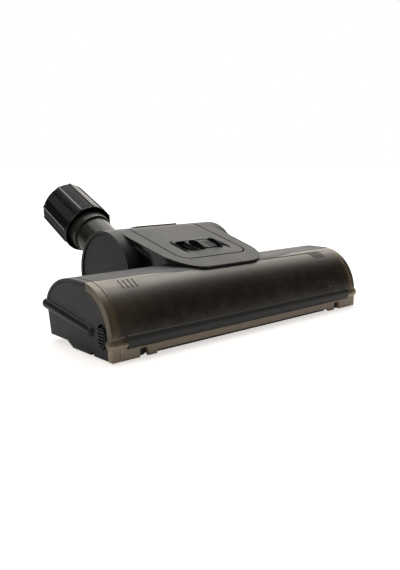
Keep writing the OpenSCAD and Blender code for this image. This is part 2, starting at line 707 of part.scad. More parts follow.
// Tufts in chevron rows, left out where the belt runs
module bristle_tufts() color([0.12, 0.12, 0.12]) head() translate([0, brush_y, brush_z])
    for (row = [0:tuft_rows - 1], s = [-1, 1], i = [0:tufts_per_row - 1]) {
        x = s * (4 + (core_half - 10) * (i + 0.5) / tufts_per_row);
        turn = 360 * row / tuft_rows + 100 * abs(x) / core_half;
        if (abs(x - belt_x) > 8.5) translate([x, 0, 0]) rotate([turn, 0, 0]) translate([0, 0, core_r + 0.05])
            cylinder(h = brush_r - core_r - 0.05, r1 = 1.5, r2 = 2, $fn = 6);
    }

module brush_shaft() color([0.7, 0.7, 0.72]) head()
    rod_x(-cheek_in + 1, cheek_in - 1, brush_y, brush_z, shaft_r);

module brush_bearing() difference() {
    block(cheek_in - 6.5, cheek_in, brush_y - 7, brush_y + 7, brush_z - 7, brush_z + 7);
    rod_x(cheek_in - 8, cheek_in - 0.8, brush_y, brush_z, shaft_r + fit);
}
module brush_bearing_right() color([0.85, 0.85, 0.83]) head() brush_bearing();
module brush_bearing_left() color([0.85, 0.85, 0.83]) head() mirror([1, 0, 0]) brush_bearing();

// Soft strip along the hood's front
module front_bumper() color([0.10, 0.10, 0.10]) head() along_x(-bump_half, bump_half) polygon(concat(
    [[0.7, bump_z - bump_h / 2 + 0.1], [0, bump_z - bump_h / 2 + 0.1]],
    [for (i = [1:9]) let (a = 180 * i / 10) [-bump_out * sin(a), bump_z - (bump_h / 2 - 0.1) * cos(a)]],
    [[0, bump_z + bump_h / 2 - 0.1], [0.7, bump_z + bump_h / 2 - 0.1]]));

// Soft strip along each cheek, round at its rear end
side_a = [22.5, 17.6];
side_b = [head_d - 1, 27.9];
module side_bumper() {
    r = 4;
    run = side_b - side_a;
    translate([cheek_face - 1, 0, 0]) difference() {
        translate([0, side_a[0], side_a[1]]) rotate([atan2(run[1], run[0]) - 90, 0, 0])
            round_rod(r, norm(run) + r);
        block(-10, 1.32, -10, 200, -10, 60);
    }
}
module side_bumper_right() color([0.09, 0.09, 0.09]) head() side_bumper();
module side_bumper_left() color([0.09, 0.09, 0.09]) head() mirror([1, 0, 0]) side_bumper();

// Ribbed latch button, its stem and the tongue behind the cheek
module latch_button() {
    along_x(cheek_face - 2.5, cheek_face + 0.2) translate([button_y, button_z])
        latch_oval(button_w, button_h);
    for (i = [-2:2]) rod_rib(button_z + 2.6 * i);
    block(cheek_in - 0.3, cheek_face - 2.5, button_y - 2.1, button_y + 2.1, button_z - 4.1, button_z + 4.1);
    block(cheek_in - 2.3, cheek_in - 0.3, button_y - 3.4, button_y + 3.4, button_z - tongue_h / 2, spring_z);
}
module rod_rib(z) translate([cheek_face + 0.2, button_y - 3.4, z - 0.6]) cube([button_proud - 0.2, 6.8, 1.2]);
module latch_button_right() color([0.12, 0.12, 0.12]) head() latch_button();
module latch_button_left() color([0.12, 0.12, 0.12]) head() mirror([1, 0, 0]) latch_button();

// Folded strip spring between the tongue and the ledge above it
module latch_spring() {
    turns = 5;
    pitch = (spring_top - spring_z - 0.6) / turns;
    along_x(cheek_in - 2, cheek_in - 0.4) translate([button_y, spring_z]) for (i = [0:turns]) {
        translate([-2.6, pitch * i]) square([5.2, 0.6]);
        if (i < turns) translate([i % 2 == 0 ? 2 : -2.6, pitch * i]) square([0.6, pitch + 0.6]);
    }
}
module latch_spring_right() color([0.7, 0.7, 0.72]) head() latch_spring();
module latch_spring_left() color([0.7, 0.7, 0.72]) head() mirror([1, 0, 0]) latch_spring();

module neck_barrel() color([0.13, 0.13, 0.12]) head() difference() {
    union() {
        rod_x(-pivot_half, pivot_half, pivot_y, pivot_z, barrel_r);
        rod_x(-arm_in - arm_t + 0.3, arm_in + arm_t - 0.3, pivot_y, pivot_z, trunnion_r);
        on_neck() cylinder(h = swivel_s, r = tube_r);
        on_neck() cylinder(h = swivel_s + 16, r = spigot_r);
    }
    on_neck() translate([0, 0, -barrel_r - 4]) cylinder(h = 90, r = air_r);
}

module neck_tube() color([0.16, 0.16, 0.13]) head() on_neck() difference() {
    union() {
        translate([0, 0, swivel_s + seat]) cylinder(h = thread_s - swivel_s - seat, r = tube_r);
        translate([0, 0, thread_s]) cylinder(h = collet_s - thread_s, r = thread_r);
    }
    translate([0, 0, 0]) cylinder(h = swivel_s + 18, r = spigot_r + fit);
    translate([0, 0, 0]) cylinder(h = 200, r = air_r + 0.4);
}

module seal_ring() color([0.05, 0.05, 0.05]) head() on_neck() translate([0, 0, swivel_s + 16.1]) difference() {
    cylinder(h = 1.8, r = spigot_r);
    translate([0, 0, -1]) cylinder(h = 4, r = air_r + 0.4);
}

// Slotted collet that the nut squeezes on the cleaner's tube
module tube_collet() color([0.22, 0.22, 0.22]) head() on_neck() translate([0, 0, collet_s]) {
    len = nut_end - collet_s - 1;
    difference() {
        cylinder(h = len, r = thread_r);
        translate([0, 0, 3]) cylinder(h = len, r = collet_bore_r);
        translate([0, 0, -1]) cylinder(h = 20, r = air_r + 0.4);
        for (i = [0:5]) rotate([0, 0, 60 * i + 30]) translate([0, -0.9, 8]) cube([40, 1.8, len]);
    }
}

module clamp_nut() color([0.12, 0.12, 0.12]) head() on_neck() translate([0, 0, nut_s]) difference() {
    union() {
        cylinder(h = nut_len, r1 = nut_r - ridge_h, r2 = nut_end_r - ridge_h);
        for (i = [0:nut_ridges - 1]) rotate([0, 0, 360 * (i + 0.5) / nut_ridges]) ridge();
    }
    translate([0, 0, -1]) cylinder(h = 9, r = nut_r - 4);
    translate([0, 0, 7.9]) cylinder(h = 3, r1 = nut_r - 4, r2 = thread_r + fit);
    translate([0, 0, 5]) cylinder(h = nut_len, r = thread_r + fit);
}

// Raised ridge along the nut, following its taper
module ridge() {
    lean = atan2(1.5, nut_len);
    translate([nut_r - 3.05, -1.1, 0]) rotate([0, -lean, 0]) intersection() {
        cube([3, 2.2, nut_len]);
        translate([1, 1.1, 0]) cylinder(h = nut_len, r = 2);
    }
}

module wheel() difference() {
    union() {
        rod_x(wheel_x0, wheel_x0 + wheel_w, wheel_y, wheel_r, wheel_r - 3);
        rod_x(wheel_x0 - 0.5, wheel_x0, wheel_y, wheel_r, 4);
    }
    rod_x(wheel_x0 - 1, wheel_x0 + wheel_w + 1, wheel_y, wheel_r, axle_r + fit);
    difference() {
        rod_x(wheel_x0 + wheel_w - 1.6, wheel_x0 + wheel_w + 1, wheel_y, wheel_r, wheel_r - 4.4);
        rod_x(wheel_x0, wheel_x0 + wheel_w + 2, wheel_y, wheel_r, 4.4);
    }
}
module tyre() translate([wheel_x0 + wheel_w / 2, wheel_y, wheel_r]) rotate([0, 90, 0])
    rotate_extrude() polygon([
        [wheel_r - 3, -wheel_w / 2], [wheel_r - 0.8, -wheel_w / 2], [wheel_r, -wheel_w / 2 + 0.8],
        [wheel_r, wheel_w / 2 - 0.8], [wheel_r - 0.8, wheel_w / 2], [wheel_r - 3, wheel_w / 2]]);
module axle() {
    rod_x(arm_in + 0.6, wheel_x0 + wheel_w + 0.2, wheel_y, wheel_r, axle_r);
    rod_x(wheel_x0 + wheel_w + 0.2, wheel_x0 + wheel_w + 1.4, wheel_y, wheel_r, 3.8);
}
module rear_wheel_right() color([0.16, 0.16, 0.16]) head() wheel();
module rear_wheel_left() color([0.16, 0.16, 0.16]) head() mirror([1, 0, 0]) wheel();
module rear_tyre_right() color([0.05, 0.05, 0.05]) head() tyre();
module rear_tyre_left() color([0.05, 0.05, 0.05]) head() mirror([1, 0, 0]) tyre();
module wheel_axle_right() color([0.7, 0.7, 0.72]) head() axle();
module wheel_axle_left() color([0.7, 0.7, 0.72]) head() mirror([1, 0, 0]) axle();

module roller() difference() {
    rod_x(roller_x - roller_w / 2, roller_x + roller_w / 2, roller_y, roller_r, roller_r);
    rod_x(0, half_w, roller_y, roller_r, pin_r + fit);
}
module roller_pin() rod_x(roller_x - 8.8, roller_x + 8.8, roller_y, roller_r, pin_r);
module front_roller_right() color([0.14, 0.14, 0.14]) head() roller();
module front_roller_left() color([0.14, 0.14, 0.14]) head() mirror([1, 0, 0]) roller();
module roller_pin_right() color([0.7, 0.7, 0.72]) head() roller_pin();
module roller_pin_left() color([0.7, 0.7, 0.72]) head() mirror([1, 0, 0]) roller_pin();

// Felt that picks up lint, glued to the slope behind the mouth
function on_ramp(share, out) = let (way = ramp_b - ramp_a)
    ramp_a + share * way + out * [way[1], -way[0]] / norm(way);
module lint_strip() color([0.45, 0.08, 0.08]) head() both()
    along_x(8, cheek_in - 6)
        polygon([on_ramp(0.1, 0), on_ramp(0.92, 0), on_ramp(0.92, 0.6), on_ramp(0.1, 0.6)]);

module screws() color([0.6, 0.6, 0.62]) head() both() for (x = screw_x) translate([x, screw_y, 0]) {
    translate([0, 0, under_h - 1.04]) cylinder(h = 2, r = 3);
    translate([0, 0, under_h + 0.96]) cylinder(h = 14, r = 1.45);
}

base_housing();
rear_cover();
hood();
front_bumper();
side_bumper_left();
side_bumper_right();
upper_housing();
turbine_lid();
end_disc_left();
end_disc_right();
bearing_plate();
air_slider();
latch_button_left();
latch_button_right();
latch_spring_left();
latch_spring_right();
brush_core();
bristle_tufts();
brush_shaft();
brush_pulley();
brush_bearing_left();
brush_bearing_right();
drive_belt();
drive_pinion();
turbine_shaft();
turbine_impeller();
turbine_bearing_left();
turbine_bearing_right();
neck_barrel();
neck_tube();
tube_collet();
seal_ring();
clamp_nut();
rear_wheel_left();
rear_wheel_right();
rear_tyre_left();
rear_tyre_right();
wheel_axle_left();
wheel_axle_right();
front_roller_left();
front_roller_right();
roller_pin_left();
roller_pin_right();
lint_strip();
screws();
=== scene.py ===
import itertools
import json
import math

import bmesh
import bpy
from mathutils import Matrix, Vector


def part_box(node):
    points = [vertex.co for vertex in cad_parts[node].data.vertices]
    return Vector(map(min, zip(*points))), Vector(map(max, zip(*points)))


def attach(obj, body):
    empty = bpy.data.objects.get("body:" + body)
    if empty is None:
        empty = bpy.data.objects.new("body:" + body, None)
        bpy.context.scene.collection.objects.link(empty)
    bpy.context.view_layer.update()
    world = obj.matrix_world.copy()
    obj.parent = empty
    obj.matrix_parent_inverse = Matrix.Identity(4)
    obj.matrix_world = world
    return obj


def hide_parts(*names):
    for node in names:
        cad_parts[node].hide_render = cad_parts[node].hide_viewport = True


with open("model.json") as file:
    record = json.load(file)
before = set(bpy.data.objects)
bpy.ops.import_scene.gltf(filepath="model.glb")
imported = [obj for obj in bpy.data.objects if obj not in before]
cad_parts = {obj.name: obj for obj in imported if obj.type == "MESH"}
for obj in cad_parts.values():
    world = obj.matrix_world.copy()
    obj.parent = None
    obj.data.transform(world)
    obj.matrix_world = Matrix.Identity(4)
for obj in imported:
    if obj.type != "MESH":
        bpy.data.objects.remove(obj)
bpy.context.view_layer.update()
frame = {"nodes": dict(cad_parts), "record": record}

bl_info = {
    "name": "Turbo brush",
    "version": (1, 0, 0),
    "blender": (4, 5, 0),
    "location": "View3D > Sidebar > Turbo brush",
    "description": "Dresses the packed turbo brush and sets it on a plain pale stage",
    "category": "Object",
}

MM = 0.001

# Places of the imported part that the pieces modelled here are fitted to, in millimetres and degrees.
HEAD_MIDDLE = 149.399
DRUM = (0.0, 119.5 - HEAD_MIDDLE, 38.0)
DRUM_R = 37.2
PLATE_SLOPE = 14.223
SLIDER = (6.5, 66.6 - HEAD_MIDDLE)
POCKET_DEPTH = 4.0
BUTTON = (12.6 - HEAD_MIDDLE, 15.8)
ROLL = (33.0 - HEAD_MIDDLE, 22.5)
NECK_TILT = 26.0
PIVOT = (0.0, 32.601, 33.2)

NODE_BODY = {node: body for body, nodes in frame["record"]["behaviour"]["bodies"].items() for node in nodes}


class TurboBrushSizes(bpy.types.PropertyGroup):
    """Sizes of the details that are modelled here"""

    edge_round: bpy.props.FloatProperty(
        name="Edge rounding", description="Rounding of the moulded shells' edges",
        default=0.0005, min=0.0, subtype="DISTANCE", unit="LENGTH")
    band_count: bpy.props.IntProperty(
        name="Nut bands", description="Knurled bands round the clamp nut", default=4, min=2, max=8)


class TurboBrushColours(bpy.types.PropertyGroup):
    """Colours and finishes of the brush"""

    shell: bpy.props.FloatVectorProperty(
        name="Shell", description="Matt black-grey of the top cover and cheeks",
        default=(0.026, 0.026, 0.0253), size=3, min=0.0, max=1.0, subtype="COLOR")
    smoke: bpy.props.FloatVectorProperty(
        name="Smoke", description="Brown tint of the see-through hood",
        default=(0.040, 0.030, 0.018), size=3, min=0.0, max=1.0, subtype="COLOR")
    neck: bpy.props.FloatVectorProperty(
        name="Neck", description="Dark olive of the glossy neck",
        default=(0.019, 0.018, 0.011), size=3, min=0.0, max=1.0, subtype="COLOR")
    floor: bpy.props.FloatVectorProperty(
        name="Floor", description="Pale floor and backdrop",
        default=(0.80, 0.80, 0.795), size=3, min=0.0, max=1.0, subtype="COLOR")


EDGE_STARTS, EDGE_GAIN = 0.53, 6.0
DUST_GREY = (0.42, 0.41, 0.39)


def new_group(name, inputs, outputs):
    """Makes an empty shader node group with the named sockets."""
    tree = bpy.data.node_groups.new(name, "ShaderNodeTree")
    for label, kind, value in inputs:
        socket = tree.interface.new_socket(name=label, in_out="INPUT", socket_type=kind)
        socket.default_value = value
    for label, kind in outputs:
        tree.interface.new_socket(name=label, in_out="OUTPUT", socket_type=kind)
    return tree, tree.nodes.new("NodeGroupInput"), tree.nodes.new("NodeGroupOutput")


def math_node(tree, operation, a, b=None):
    """Adds a Math node fed by sockets or numbers and returns its output."""
    node = tree.nodes.new("ShaderNodeMath")
    node.operation = operation
    for place, value in enumerate((a, b)):
        if value is None:
            continue
        if isinstance(value, bpy.types.NodeSocket):
            tree.links.new(value, node.inputs[place])
        else:
            node.inputs[place].default_value = value
    return node.outputs[0]


def noise(tree, scale, detail=2.0, rough=0.5):
    """Adds a noise on object coordinates; scale is a socket or a number."""
    place = tree.nodes.new("ShaderNodeTexCoord")
    node = tree.nodes.new("ShaderNodeTexNoise")
    node.inputs["Detail"].default_value = detail
    node.inputs["Roughness"].default_value = rough
    tree.links.new(place.outputs["Object"], node.inputs["Vector"])
    if isinstance(scale, bpy.types.NodeSocket):
        tree.links.new(scale, node.inputs["Scale"])
    else:
        node.inputs["Scale"].default_value = scale
    return node.outputs["Fac"]


def make_grain_group():
    """Spark-eroded grain of moulded plastic: a height, and a mask of its hollows."""
    tree, start, end = new_group(
        "moulded_grain",
        [("Scale", "NodeSocketFloat", 2600.0), ("Depth", "NodeSocketFloat", 1.0)],
        [("Height", "NodeSocketFloat"), ("Mask", "NodeSocketFloat")])
    fine = noise(tree, start.outputs["Scale"], 3.0, 0.6)
    wide = noise(tree, math_node(tree, "MULTIPLY", start.outputs["Scale"], 0.31), 1.0)
    both = math_node(tree, "ADD", fine, math_node(tree, "MULTIPLY", wide, 0.6))
    tree.links.new(math_node(tree, "MULTIPLY", both, start.outputs["Depth"]), end.inputs["Height"])
    tree.links.new(fine, end.inputs["Mask"])


def make_wear_group():
    """Colour and roughness of a handled surface: faint cloudiness, dust on top and paler rubbed edges."""
    tree, start, end = new_group(
        "handled_surface",
        [("Colour", "NodeSocketColor", (0.05, 0.05, 0.05, 1.0)), ("Roughness", "NodeSocketFloat", 0.5),
         ("Dust", "NodeSocketFloat", 0.08), ("Edge", "NodeSocketFloat", 0.3),
         ("Clouds", "NodeSocketFloat", 0.12)],
        [("Colour", "NodeSocketColor"), ("Roughness", "NodeSocketFloat")])
    clouds = noise(tree, 38.0, 4.0, 0.55)
    clouds = math_node(tree, "SUBTRACT", clouds, 0.5)
    shade = math_node(tree, "ADD", 1.0, math_node(tree, "MULTIPLY", clouds, start.outputs["Clouds"]))
    tint = tree.nodes.new("ShaderNodeVectorMath")
    tint.operation = "SCALE"
    tree.links.new(start.outputs["Colour"], tint.inputs[0])
    tree.links.new(shade, tint.inputs["Scale"])
    shape = tree.nodes.new("ShaderNodeNewGeometry")
    sharp = math_node(tree, "MULTIPLY", math_node(tree, "MAXIMUM", math_node(
        tree, "SUBTRACT", shape.outputs["Pointiness"], EDGE_STARTS), 0.0), EDGE_GAIN)
    edge = math_node(tree, "MULTIPLY", math_node(tree, "MINIMUM", sharp, 1.0), start.outputs["Edge"])
    up = tree.nodes.new("ShaderNodeSeparateXYZ")
    tree.links.new(shape.outputs["Normal"], up.inputs[0])
    level = math_node(tree, "MAXIMUM", up.outputs["Z"], 0.0)
    settled = math_node(tree, "MULTIPLY", level, start.outputs["Dust"])
    dusty = math_node(tree, "MULTIPLY", settled, math_node(tree, "ADD", noise(tree, 240.0, 5.0, 0.7), 0.3))
    paler = mix_node(tree, math_node(tree, "ADD", edge, dusty), tint.outputs[0], DUST_GREY)
    tree.links.new(paler, end.inputs["Colour"])
    patchy = math_node(tree, "ADD", start.outputs["Roughness"], math_node(tree, "MULTIPLY", clouds, 0.18))
    rough = math_node(tree, "ADD", patchy, math_node(tree, "MULTIPLY", dusty, 0.6))
    tree.links.new(rough, end.inputs["Roughness"])


def finish(name, colour, roughness, grain=2600.0, bump=0.15, dust=0.05, edge=0.25, clouds=0.12, **sockets):
    """A Principled material whose colour, roughness and grain come from the shared groups."""
    material = bpy.data.materials.get(name)
    if material:
        return material
    material = bpy.data.materials.new(name)
    material.use_nodes = True
    tree = material.node_tree
    shader = tree.nodes["Principled BSDF"]
    surface = tree.nodes.new("ShaderNodeGroup")
    surface.node_tree = bpy.data.node_groups["handled_surface"]
    for label, value in (("Colour", (*colour, 1.0)), ("Roughness", roughness), ("Dust", dust), ("Edge", edge),
                         ("Clouds", clouds)):
        surface.inputs[label].default_value = value
    tree.links.new(surface.outputs["Colour"], shader.inputs["Base Color"])
    tree.links.new(surface.outputs["Roughness"], shader.inputs["Roughness"])
    if bump > 0.0:
        texture = tree.nodes.new("ShaderNodeGroup")
        texture.node_tree = bpy.data.node_groups["moulded_grain"]
        texture.inputs["Scale"].default_value = grain
        relief = tree.nodes.new("ShaderNodeBump")
        relief.inputs["Strength"].default_value = bump
        relief.inputs["Distance"].default_value = 0.0002
        tree.links.new(texture.outputs["Height"], relief.inputs["Height"])
        tree.links.new(relief.outputs["Normal"], shader.inputs["Normal"])
    for label, value in sockets.items():
        shader.inputs[label.replace("_", " ")].default_value = value
    return material


def ramp_node(tree, value, low, high, bottom=0.0, top=1.0, curve="LINEAR"):
    """Adds a Map Range from one span to another and returns its output."""
    node = tree.nodes.new("ShaderNodeMapRange")
    node.interpolation_type = curve
    for label, number in (("From Min", low), ("From Max", high), ("To Min", bottom), ("To Max", top)):
        node.inputs[label].default_value = number
    tree.links.new(value, node.inputs["Value"])
    return node.outputs["Result"]


def mix_node(tree, factor, first, second):
    """Adds a colour Mix fed by sockets or colours and returns its output."""
    node = tree.nodes.new("ShaderNodeMix")
    node.data_type = "RGBA"
    tree.links.new(factor, node.inputs["Factor"])
    for label, shade in (("A", first), ("B", second)):
        if isinstance(shade, bpy.types.NodeSocket):
            tree.links.new(shade, node.inputs[label])
        else:
            node.inputs[label].default_value = (*shade, 1.0)
    return node.outputs["Result"]


def object_axes(tree):
    """Adds the object coordinates split into X, Y and Z."""
    place = tree.nodes.new("ShaderNodeTexCoord")
    axes = tree.nodes.new("ShaderNodeSeparateXYZ")
    tree.links.new(place.outputs["Object"], axes.inputs[0])
    return axes.outputs


# Spans in metres over which the hood's masks fade.
PAINTED_LIGHT_FADE, PAINTED_LIGHT_FOOT = (-0.078, -0.122), (0.012, 0.032)
SCUFF_FADE = (0.046, 0.018)


def make_rim_streak_and_painted_light_group():
    """Masks of the streaks in the hood's rims and of mottled painted light beside its left rim."""
    tree, start, end = new_group(
        "thin_parts", [("Cloud Amount", "NodeSocketFloat", 0.8)],
        [("Rim", "NodeSocketFloat"), ("Cloud", "NodeSocketFloat")])
    x, y, z = object_axes(tree)
    tree.links.new(ramp_node(tree, noise(tree, 70.0, 5.0, 0.65), 0.34, 0.62, 0.45, 1.0), end.inputs["Rim"])
    beside = math_node(tree, "MULTIPLY", ramp_node(tree, x, *PAINTED_LIGHT_FADE), ramp_node(tree, z, *PAINTED_LIGHT_FOOT))
    mottled = ramp_node(tree, noise(tree, 46.0, 4.0, 0.6), 0.38, 0.68, 0.25, 1.0)
    patches = math_node(tree, "MULTIPLY", beside, mottled)
    tree.links.new(math_node(tree, "MULTIPLY", patches, start.outputs["Cloud Amount"]), end.inputs["Cloud"])


def make_scuff_group():
    """Faint scuffs and dust low on the front of the hood."""
    tree, start, end = new_group(
        "low_scuffs", [("Strength", "NodeSocketFloat", 0.4)], [("Mask", "NodeSocketFloat")])
    low = ramp_node(tree, object_axes(tree)["Z"], *SCUFF_FADE)
    specks = math_node(tree, "POWER", noise(tree, 95.0, 9.0, 0.72), 3.2)
    scuffs = math_node(tree, "MULTIPLY", math_node(tree, "MULTIPLY", specks, low), 2.6)
    tree.links.new(math_node(tree, "MULTIPLY", scuffs, start.outputs["Strength"]), end.inputs["Mask"])


# How clear the hood's body, rims and skirt are, and the colours that their paler places turn to: painted
# light beside the left rim, streaks in the rims, the skirt's pale brown, which is painted light, and scuffs.
SMOKE_CLEAR, RIM_CLEAR, SKIRT_CLEAR = 0.93, 0.73, 0.40
PAINTED_LIGHT_BROWN, RIM_BROWN = (0.34, 0.295, 0.17), (0.26, 0.215, 0.125)
SKIRT_PAINTED_LIGHT_BROWN, SCUFF_GREY = (0.66, 0.56, 0.45), (0.90, 0.86, 0.78)


def smoke_finish(name, shade, clear, parts):
    """See-through brown of one part of the hood, with a colour for each mask that makes it paler."""
    made = bpy.data.materials.get(name)
    if made:
        return made
    material = finish(name, shade, 0.3, bump=0.02, dust=0.0, edge=0.0, clouds=0.0, IOR=1.45,
                      Transmission_Weight=clear, Coat_Weight=0.75, Coat_Roughness=0.43,
                      Coat_Tint=(1.0, 0.93, 0.84, 1.0))
    tree = material.node_tree
    shader = tree.nodes["Principled BSDF"]
    before = shader.inputs["Base Color"].links[0].from_socket
    masks = {}
    for group_name in ("thin_parts", "low_scuffs"):
        group = tree.nodes.new("ShaderNodeGroup")
        group.node_tree = bpy.data.node_groups[group_name]
        masks.update({socket.name: socket for socket in group.outputs})
    for mask, paler in parts:
        before = mix_node(tree, masks[mask], before, paler)
    tree.links.new(before, shader.inputs["Base Color"])
    return material


def panel_colour(name, lighter=1.0):
    """A colour of the panel as linear numbers, made lighter or darker by a factor."""
    return tuple(lighter * c for c in getattr(bpy.context.scene.turbo_colours, name))


def coat(node, material):
    """Gives a carried-over node its material."""
    mesh = frame["nodes"][node].data
    mesh.materials.clear()
    mesh.materials.append(material)


def finishes():
    """Every material of the brush by its short name."""
    return {
        "shell": finish("shell_textured_black", panel_colour("shell"), 0.46, bump=0.22,
                        Specular_IOR_Level=0.36),
        # The cheeks' colour is the shell's made lighter as painted light, and the discs' is the shell's made
        # darker as painted shade.
        "cheek": finish("cheek_textured_black", panel_colour("shell", 1.3), 0.52, bump=0.2),
        "disc": finish("disc_textured_black", panel_colour("shell", 0.75), 0.52, bump=0.2),
        # Near black painted shade on the slider's fins; its foot and stem use it too.
        "black": finish("slider_black", (0.004, 0.004, 0.004), 0.42, bump=0.05, dust=0.0,
                        Specular_IOR_Level=0.3),
        # Near black painted shade in the lid's seam groove and pocket, in the nut's grooves and on the
        # slider's shutter and saddle.
        "painted_shade": finish("deep_recess_black", (0.0015, 0.0015, 0.0015), 0.7, bump=0.0, dust=0.0, edge=0.0,
                      Specular_IOR_Level=0.1),
        # A painted highlight on the end discs' rounded rims and on the slider's ribs.
        "worn": finish("rubbed_edge_grey", (0.10, 0.097, 0.088), 0.38, bump=0.1, dust=0.02),
        # A painted highlight on the nut's ridge crests and on the drum's rims.
        "crest": finish("nut_crest_grey", (0.34, 0.33, 0.31), 0.3, bump=0.1, dust=0.0),
        # Glossy black with painted shade, for the riser walls under the plate.
        "gloss": finish("inner_gloss_black", (0.006, 0.006, 0.006), 0.16, bump=0.03, dust=0.02),
        "smoke": smoke_finish("smoke_clear_brown", panel_colour("smoke"), SMOKE_CLEAR,
                              (("Cloud", PAINTED_LIGHT_BROWN), ("Mask", SCUFF_GREY))),
        "smoke_rim": smoke_finish("smoke_rim_brown", panel_colour("smoke"), RIM_CLEAR,
                                  (("Cloud", PAINTED_LIGHT_BROWN), ("Rim", RIM_BROWN), ("Mask", SCUFF_GREY))),
        "smoke_skirt": smoke_finish("smoke_skirt_brown", SKIRT_PAINTED_LIGHT_BROWN, SKIRT_CLEAR, (("Mask", SCUFF_GREY),)),
        "strip": finish("front_strip_black", (0.034, 0.033, 0.031), 0.34, bump=0.08, dust=0.02),
        "rubber": finish("soft_rubber_black", (0.012, 0.012, 0.012), 0.36, bump=0.08, dust=0.02),
        "neck": finish("neck_gloss_olive", panel_colour("neck"), 0.27, bump=0.04, dust=0.02),
        "nut": finish("nut_satin_black", (0.005, 0.005, 0.005), 0.28, bump=0.06, dust=0.0),
        "steel": finish("turned_steel", (0.55, 0.55, 0.56), 0.28, grain=900.0, bump=0.05, dust=0.0,
                        edge=0.1, Metallic=1.0),
        "ivory": finish("ivory_plastic", (0.62, 0.58, 0.48), 0.42, bump=0.1, dust=0.04),
        "core": finish("roll_core_grey", (0.05, 0.05, 0.055), 0.5, bump=0.15),
        "bristle": finish("bristle_black", (0.02, 0.02, 0.02), 0.55, grain=5200.0, bump=0.6),
        "felt": finish("lint_felt_red", (0.28, 0.02, 0.02), 0.95, grain=4200.0, bump=0.9, dust=0.1),
        "zinc": finish("screw_zinc", (0.50, 0.50, 0.50), 0.35, bump=0.1, Metallic=1.0),
    }


CARRIED = {
    "base_housing": "cheek", "rear_cover": "cheek", "hood": "smoke", "front_bumper": "strip",
    "side_bumper_left": "rubber", "side_bumper_right": "rubber", "upper_housing": "shell",
    "turbine_lid": "shell", "end_disc_left": "disc", "end_disc_right": "disc",
    "bearing_plate": "cheek", "air_slider": "nut", "latch_button_left": "nut",
    "latch_button_right": "nut", "latch_spring_left": "steel", "latch_spring_right": "steel",
    "brush_core": "core", "bristle_tufts": "bristle", "brush_shaft": "steel",
    "brush_pulley": "ivory", "brush_bearing_left": "ivory", "brush_bearing_right": "ivory",
    "drive_belt": "rubber", "drive_pinion": "ivory", "turbine_shaft": "steel",
    # The impeller is given the dark roll-core grey as painted shade, so the chamber under the slider looks
    # dark.
    "turbine_impeller": "core", "turbine_bearing_left": "steel", "turbine_bearing_right": "steel",
    "neck_barrel": "neck", "neck_tube": "neck", "tube_collet": "cheek", "seal_ring": "rubber",
    "clamp_nut": "nut", "rear_wheel_left": "cheek", "rear_wheel_right": "cheek",
    "rear_tyre_left": "rubber", "rear_tyre_right": "rubber", "wheel_axle_left": "steel",
    "wheel_axle_right": "steel", "front_roller_left": "cheek", "front_roller_right": "cheek",
    "roller_pin_left": "steel", "roller_pin_right": "steel", "lint_strip": "felt", "screws": "zinc",
}


class TURBO_OT_finishes(bpy.types.Operator):
    """Makes the shader groups and gives every carried-over piece its material"""

    bl_idname = "turbo.finishes"
    bl_label = "Finishes"

    def execute(self, context):
        make_grain_group()
        make_wear_group()
        make_rim_streak_and_painted_light_group()
        make_scuff_group()
        made = finishes()
        for node, name in CARRIED.items():
            coat(node, made[name])
        return {"FINISHED"}


def mm(*values):
    """Lengths in millimetres as a list in metres."""
    return [v * MM for v in values]


def fresh():
    """Leaves edit mode and deselects everything."""
    if bpy.context.mode != "OBJECT":
        bpy.ops.object.mode_set(mode="OBJECT")
    bpy.ops.object.select_all(action="DESELECT")


def activate(piece):
    """Selects one piece alone and makes it active."""
    fresh()
    piece.select_set(True)
    bpy.context.view_layer.objects.active = piece


def primitive(name, kind, **values):
    """Adds a primitive and leaves it in edit mode with all of it selected."""
    fresh()
    getattr(bpy.ops.mesh, f"primitive_{kind}_add")(**values)
    piece = bpy.context.active_object
    piece.name = name
    bpy.ops.object.mode_set(mode="EDIT")
    bpy.ops.mesh.select_all(action="SELECT")
    return piece


def pick(piece, kind, test):
    """In edit mode, selects the faces, edges or vertices that pass a test and nothing else."""
    bpy.ops.mesh.select_mode(type={"faces": "FACE", "edges": "EDGE", "verts": "VERT"}[kind])
    bpy.ops.mesh.select_all(action="DESELECT")
    mesh = bmesh.from_edit_mesh(piece.data)
    for element in [e for e in getattr(mesh, kind) if test(e)]:
        element.select_set(True)
    mesh.select_flush_mode()
    bmesh.update_edit_mesh(piece.data)


def upright(edge):
    """True for an edge that runs up more than across, as the corners of a box do."""
    rise = edge.verts[1].co - edge.verts[0].co
    return abs(rise.z) > rise.xy.length


def sized_box(name, size, place):
    """A box of that size about that place, in millimetres, left in edit mode."""
    piece = primitive(name, "cube", size=1.0, location=mm(*place))
    bpy.ops.transform.resize(value=mm(*size), center_override=mm(*place))
    return piece


def assign(piece, slot):
    """In edit mode, gives the picked faces the material of one of the piece's slots."""
    piece.active_material_index = slot
    bpy.ops.object.material_slot_assign()


def modify(piece, kind, **values):
    """Adds a modifier, sets it and applies it."""
    activate(piece)
    modifier = piece.modifiers.new(kind.lower(), kind)
    for key, value in values.items():
        setattr(modifier, key, value)
    bpy.ops.object.modifier_apply(modifier=modifier.name)


def bevel_edges(piece, width, segments=2, angle=32.0, slot=-1):
    """Rounds a piece's sharp edges, in the material of that slot if given."""
    if width > 0.0:
        modify(piece, "BEVEL", width=width, segments=segments, limit_method="ANGLE", material=slot,
               angle_limit=math.radians(angle), use_clamp_overlap=True, miter_outer="MITER_ARC")


def smooth_faces(piece):
    """Smooths a piece's shading, with its large faces kept flat."""
    activate(piece)
    bpy.ops.object.shade_smooth_by_angle(angle=math.radians(34.0))
    modify(piece, "WEIGHTED_NORMAL", keep_sharp=True, weight=80)


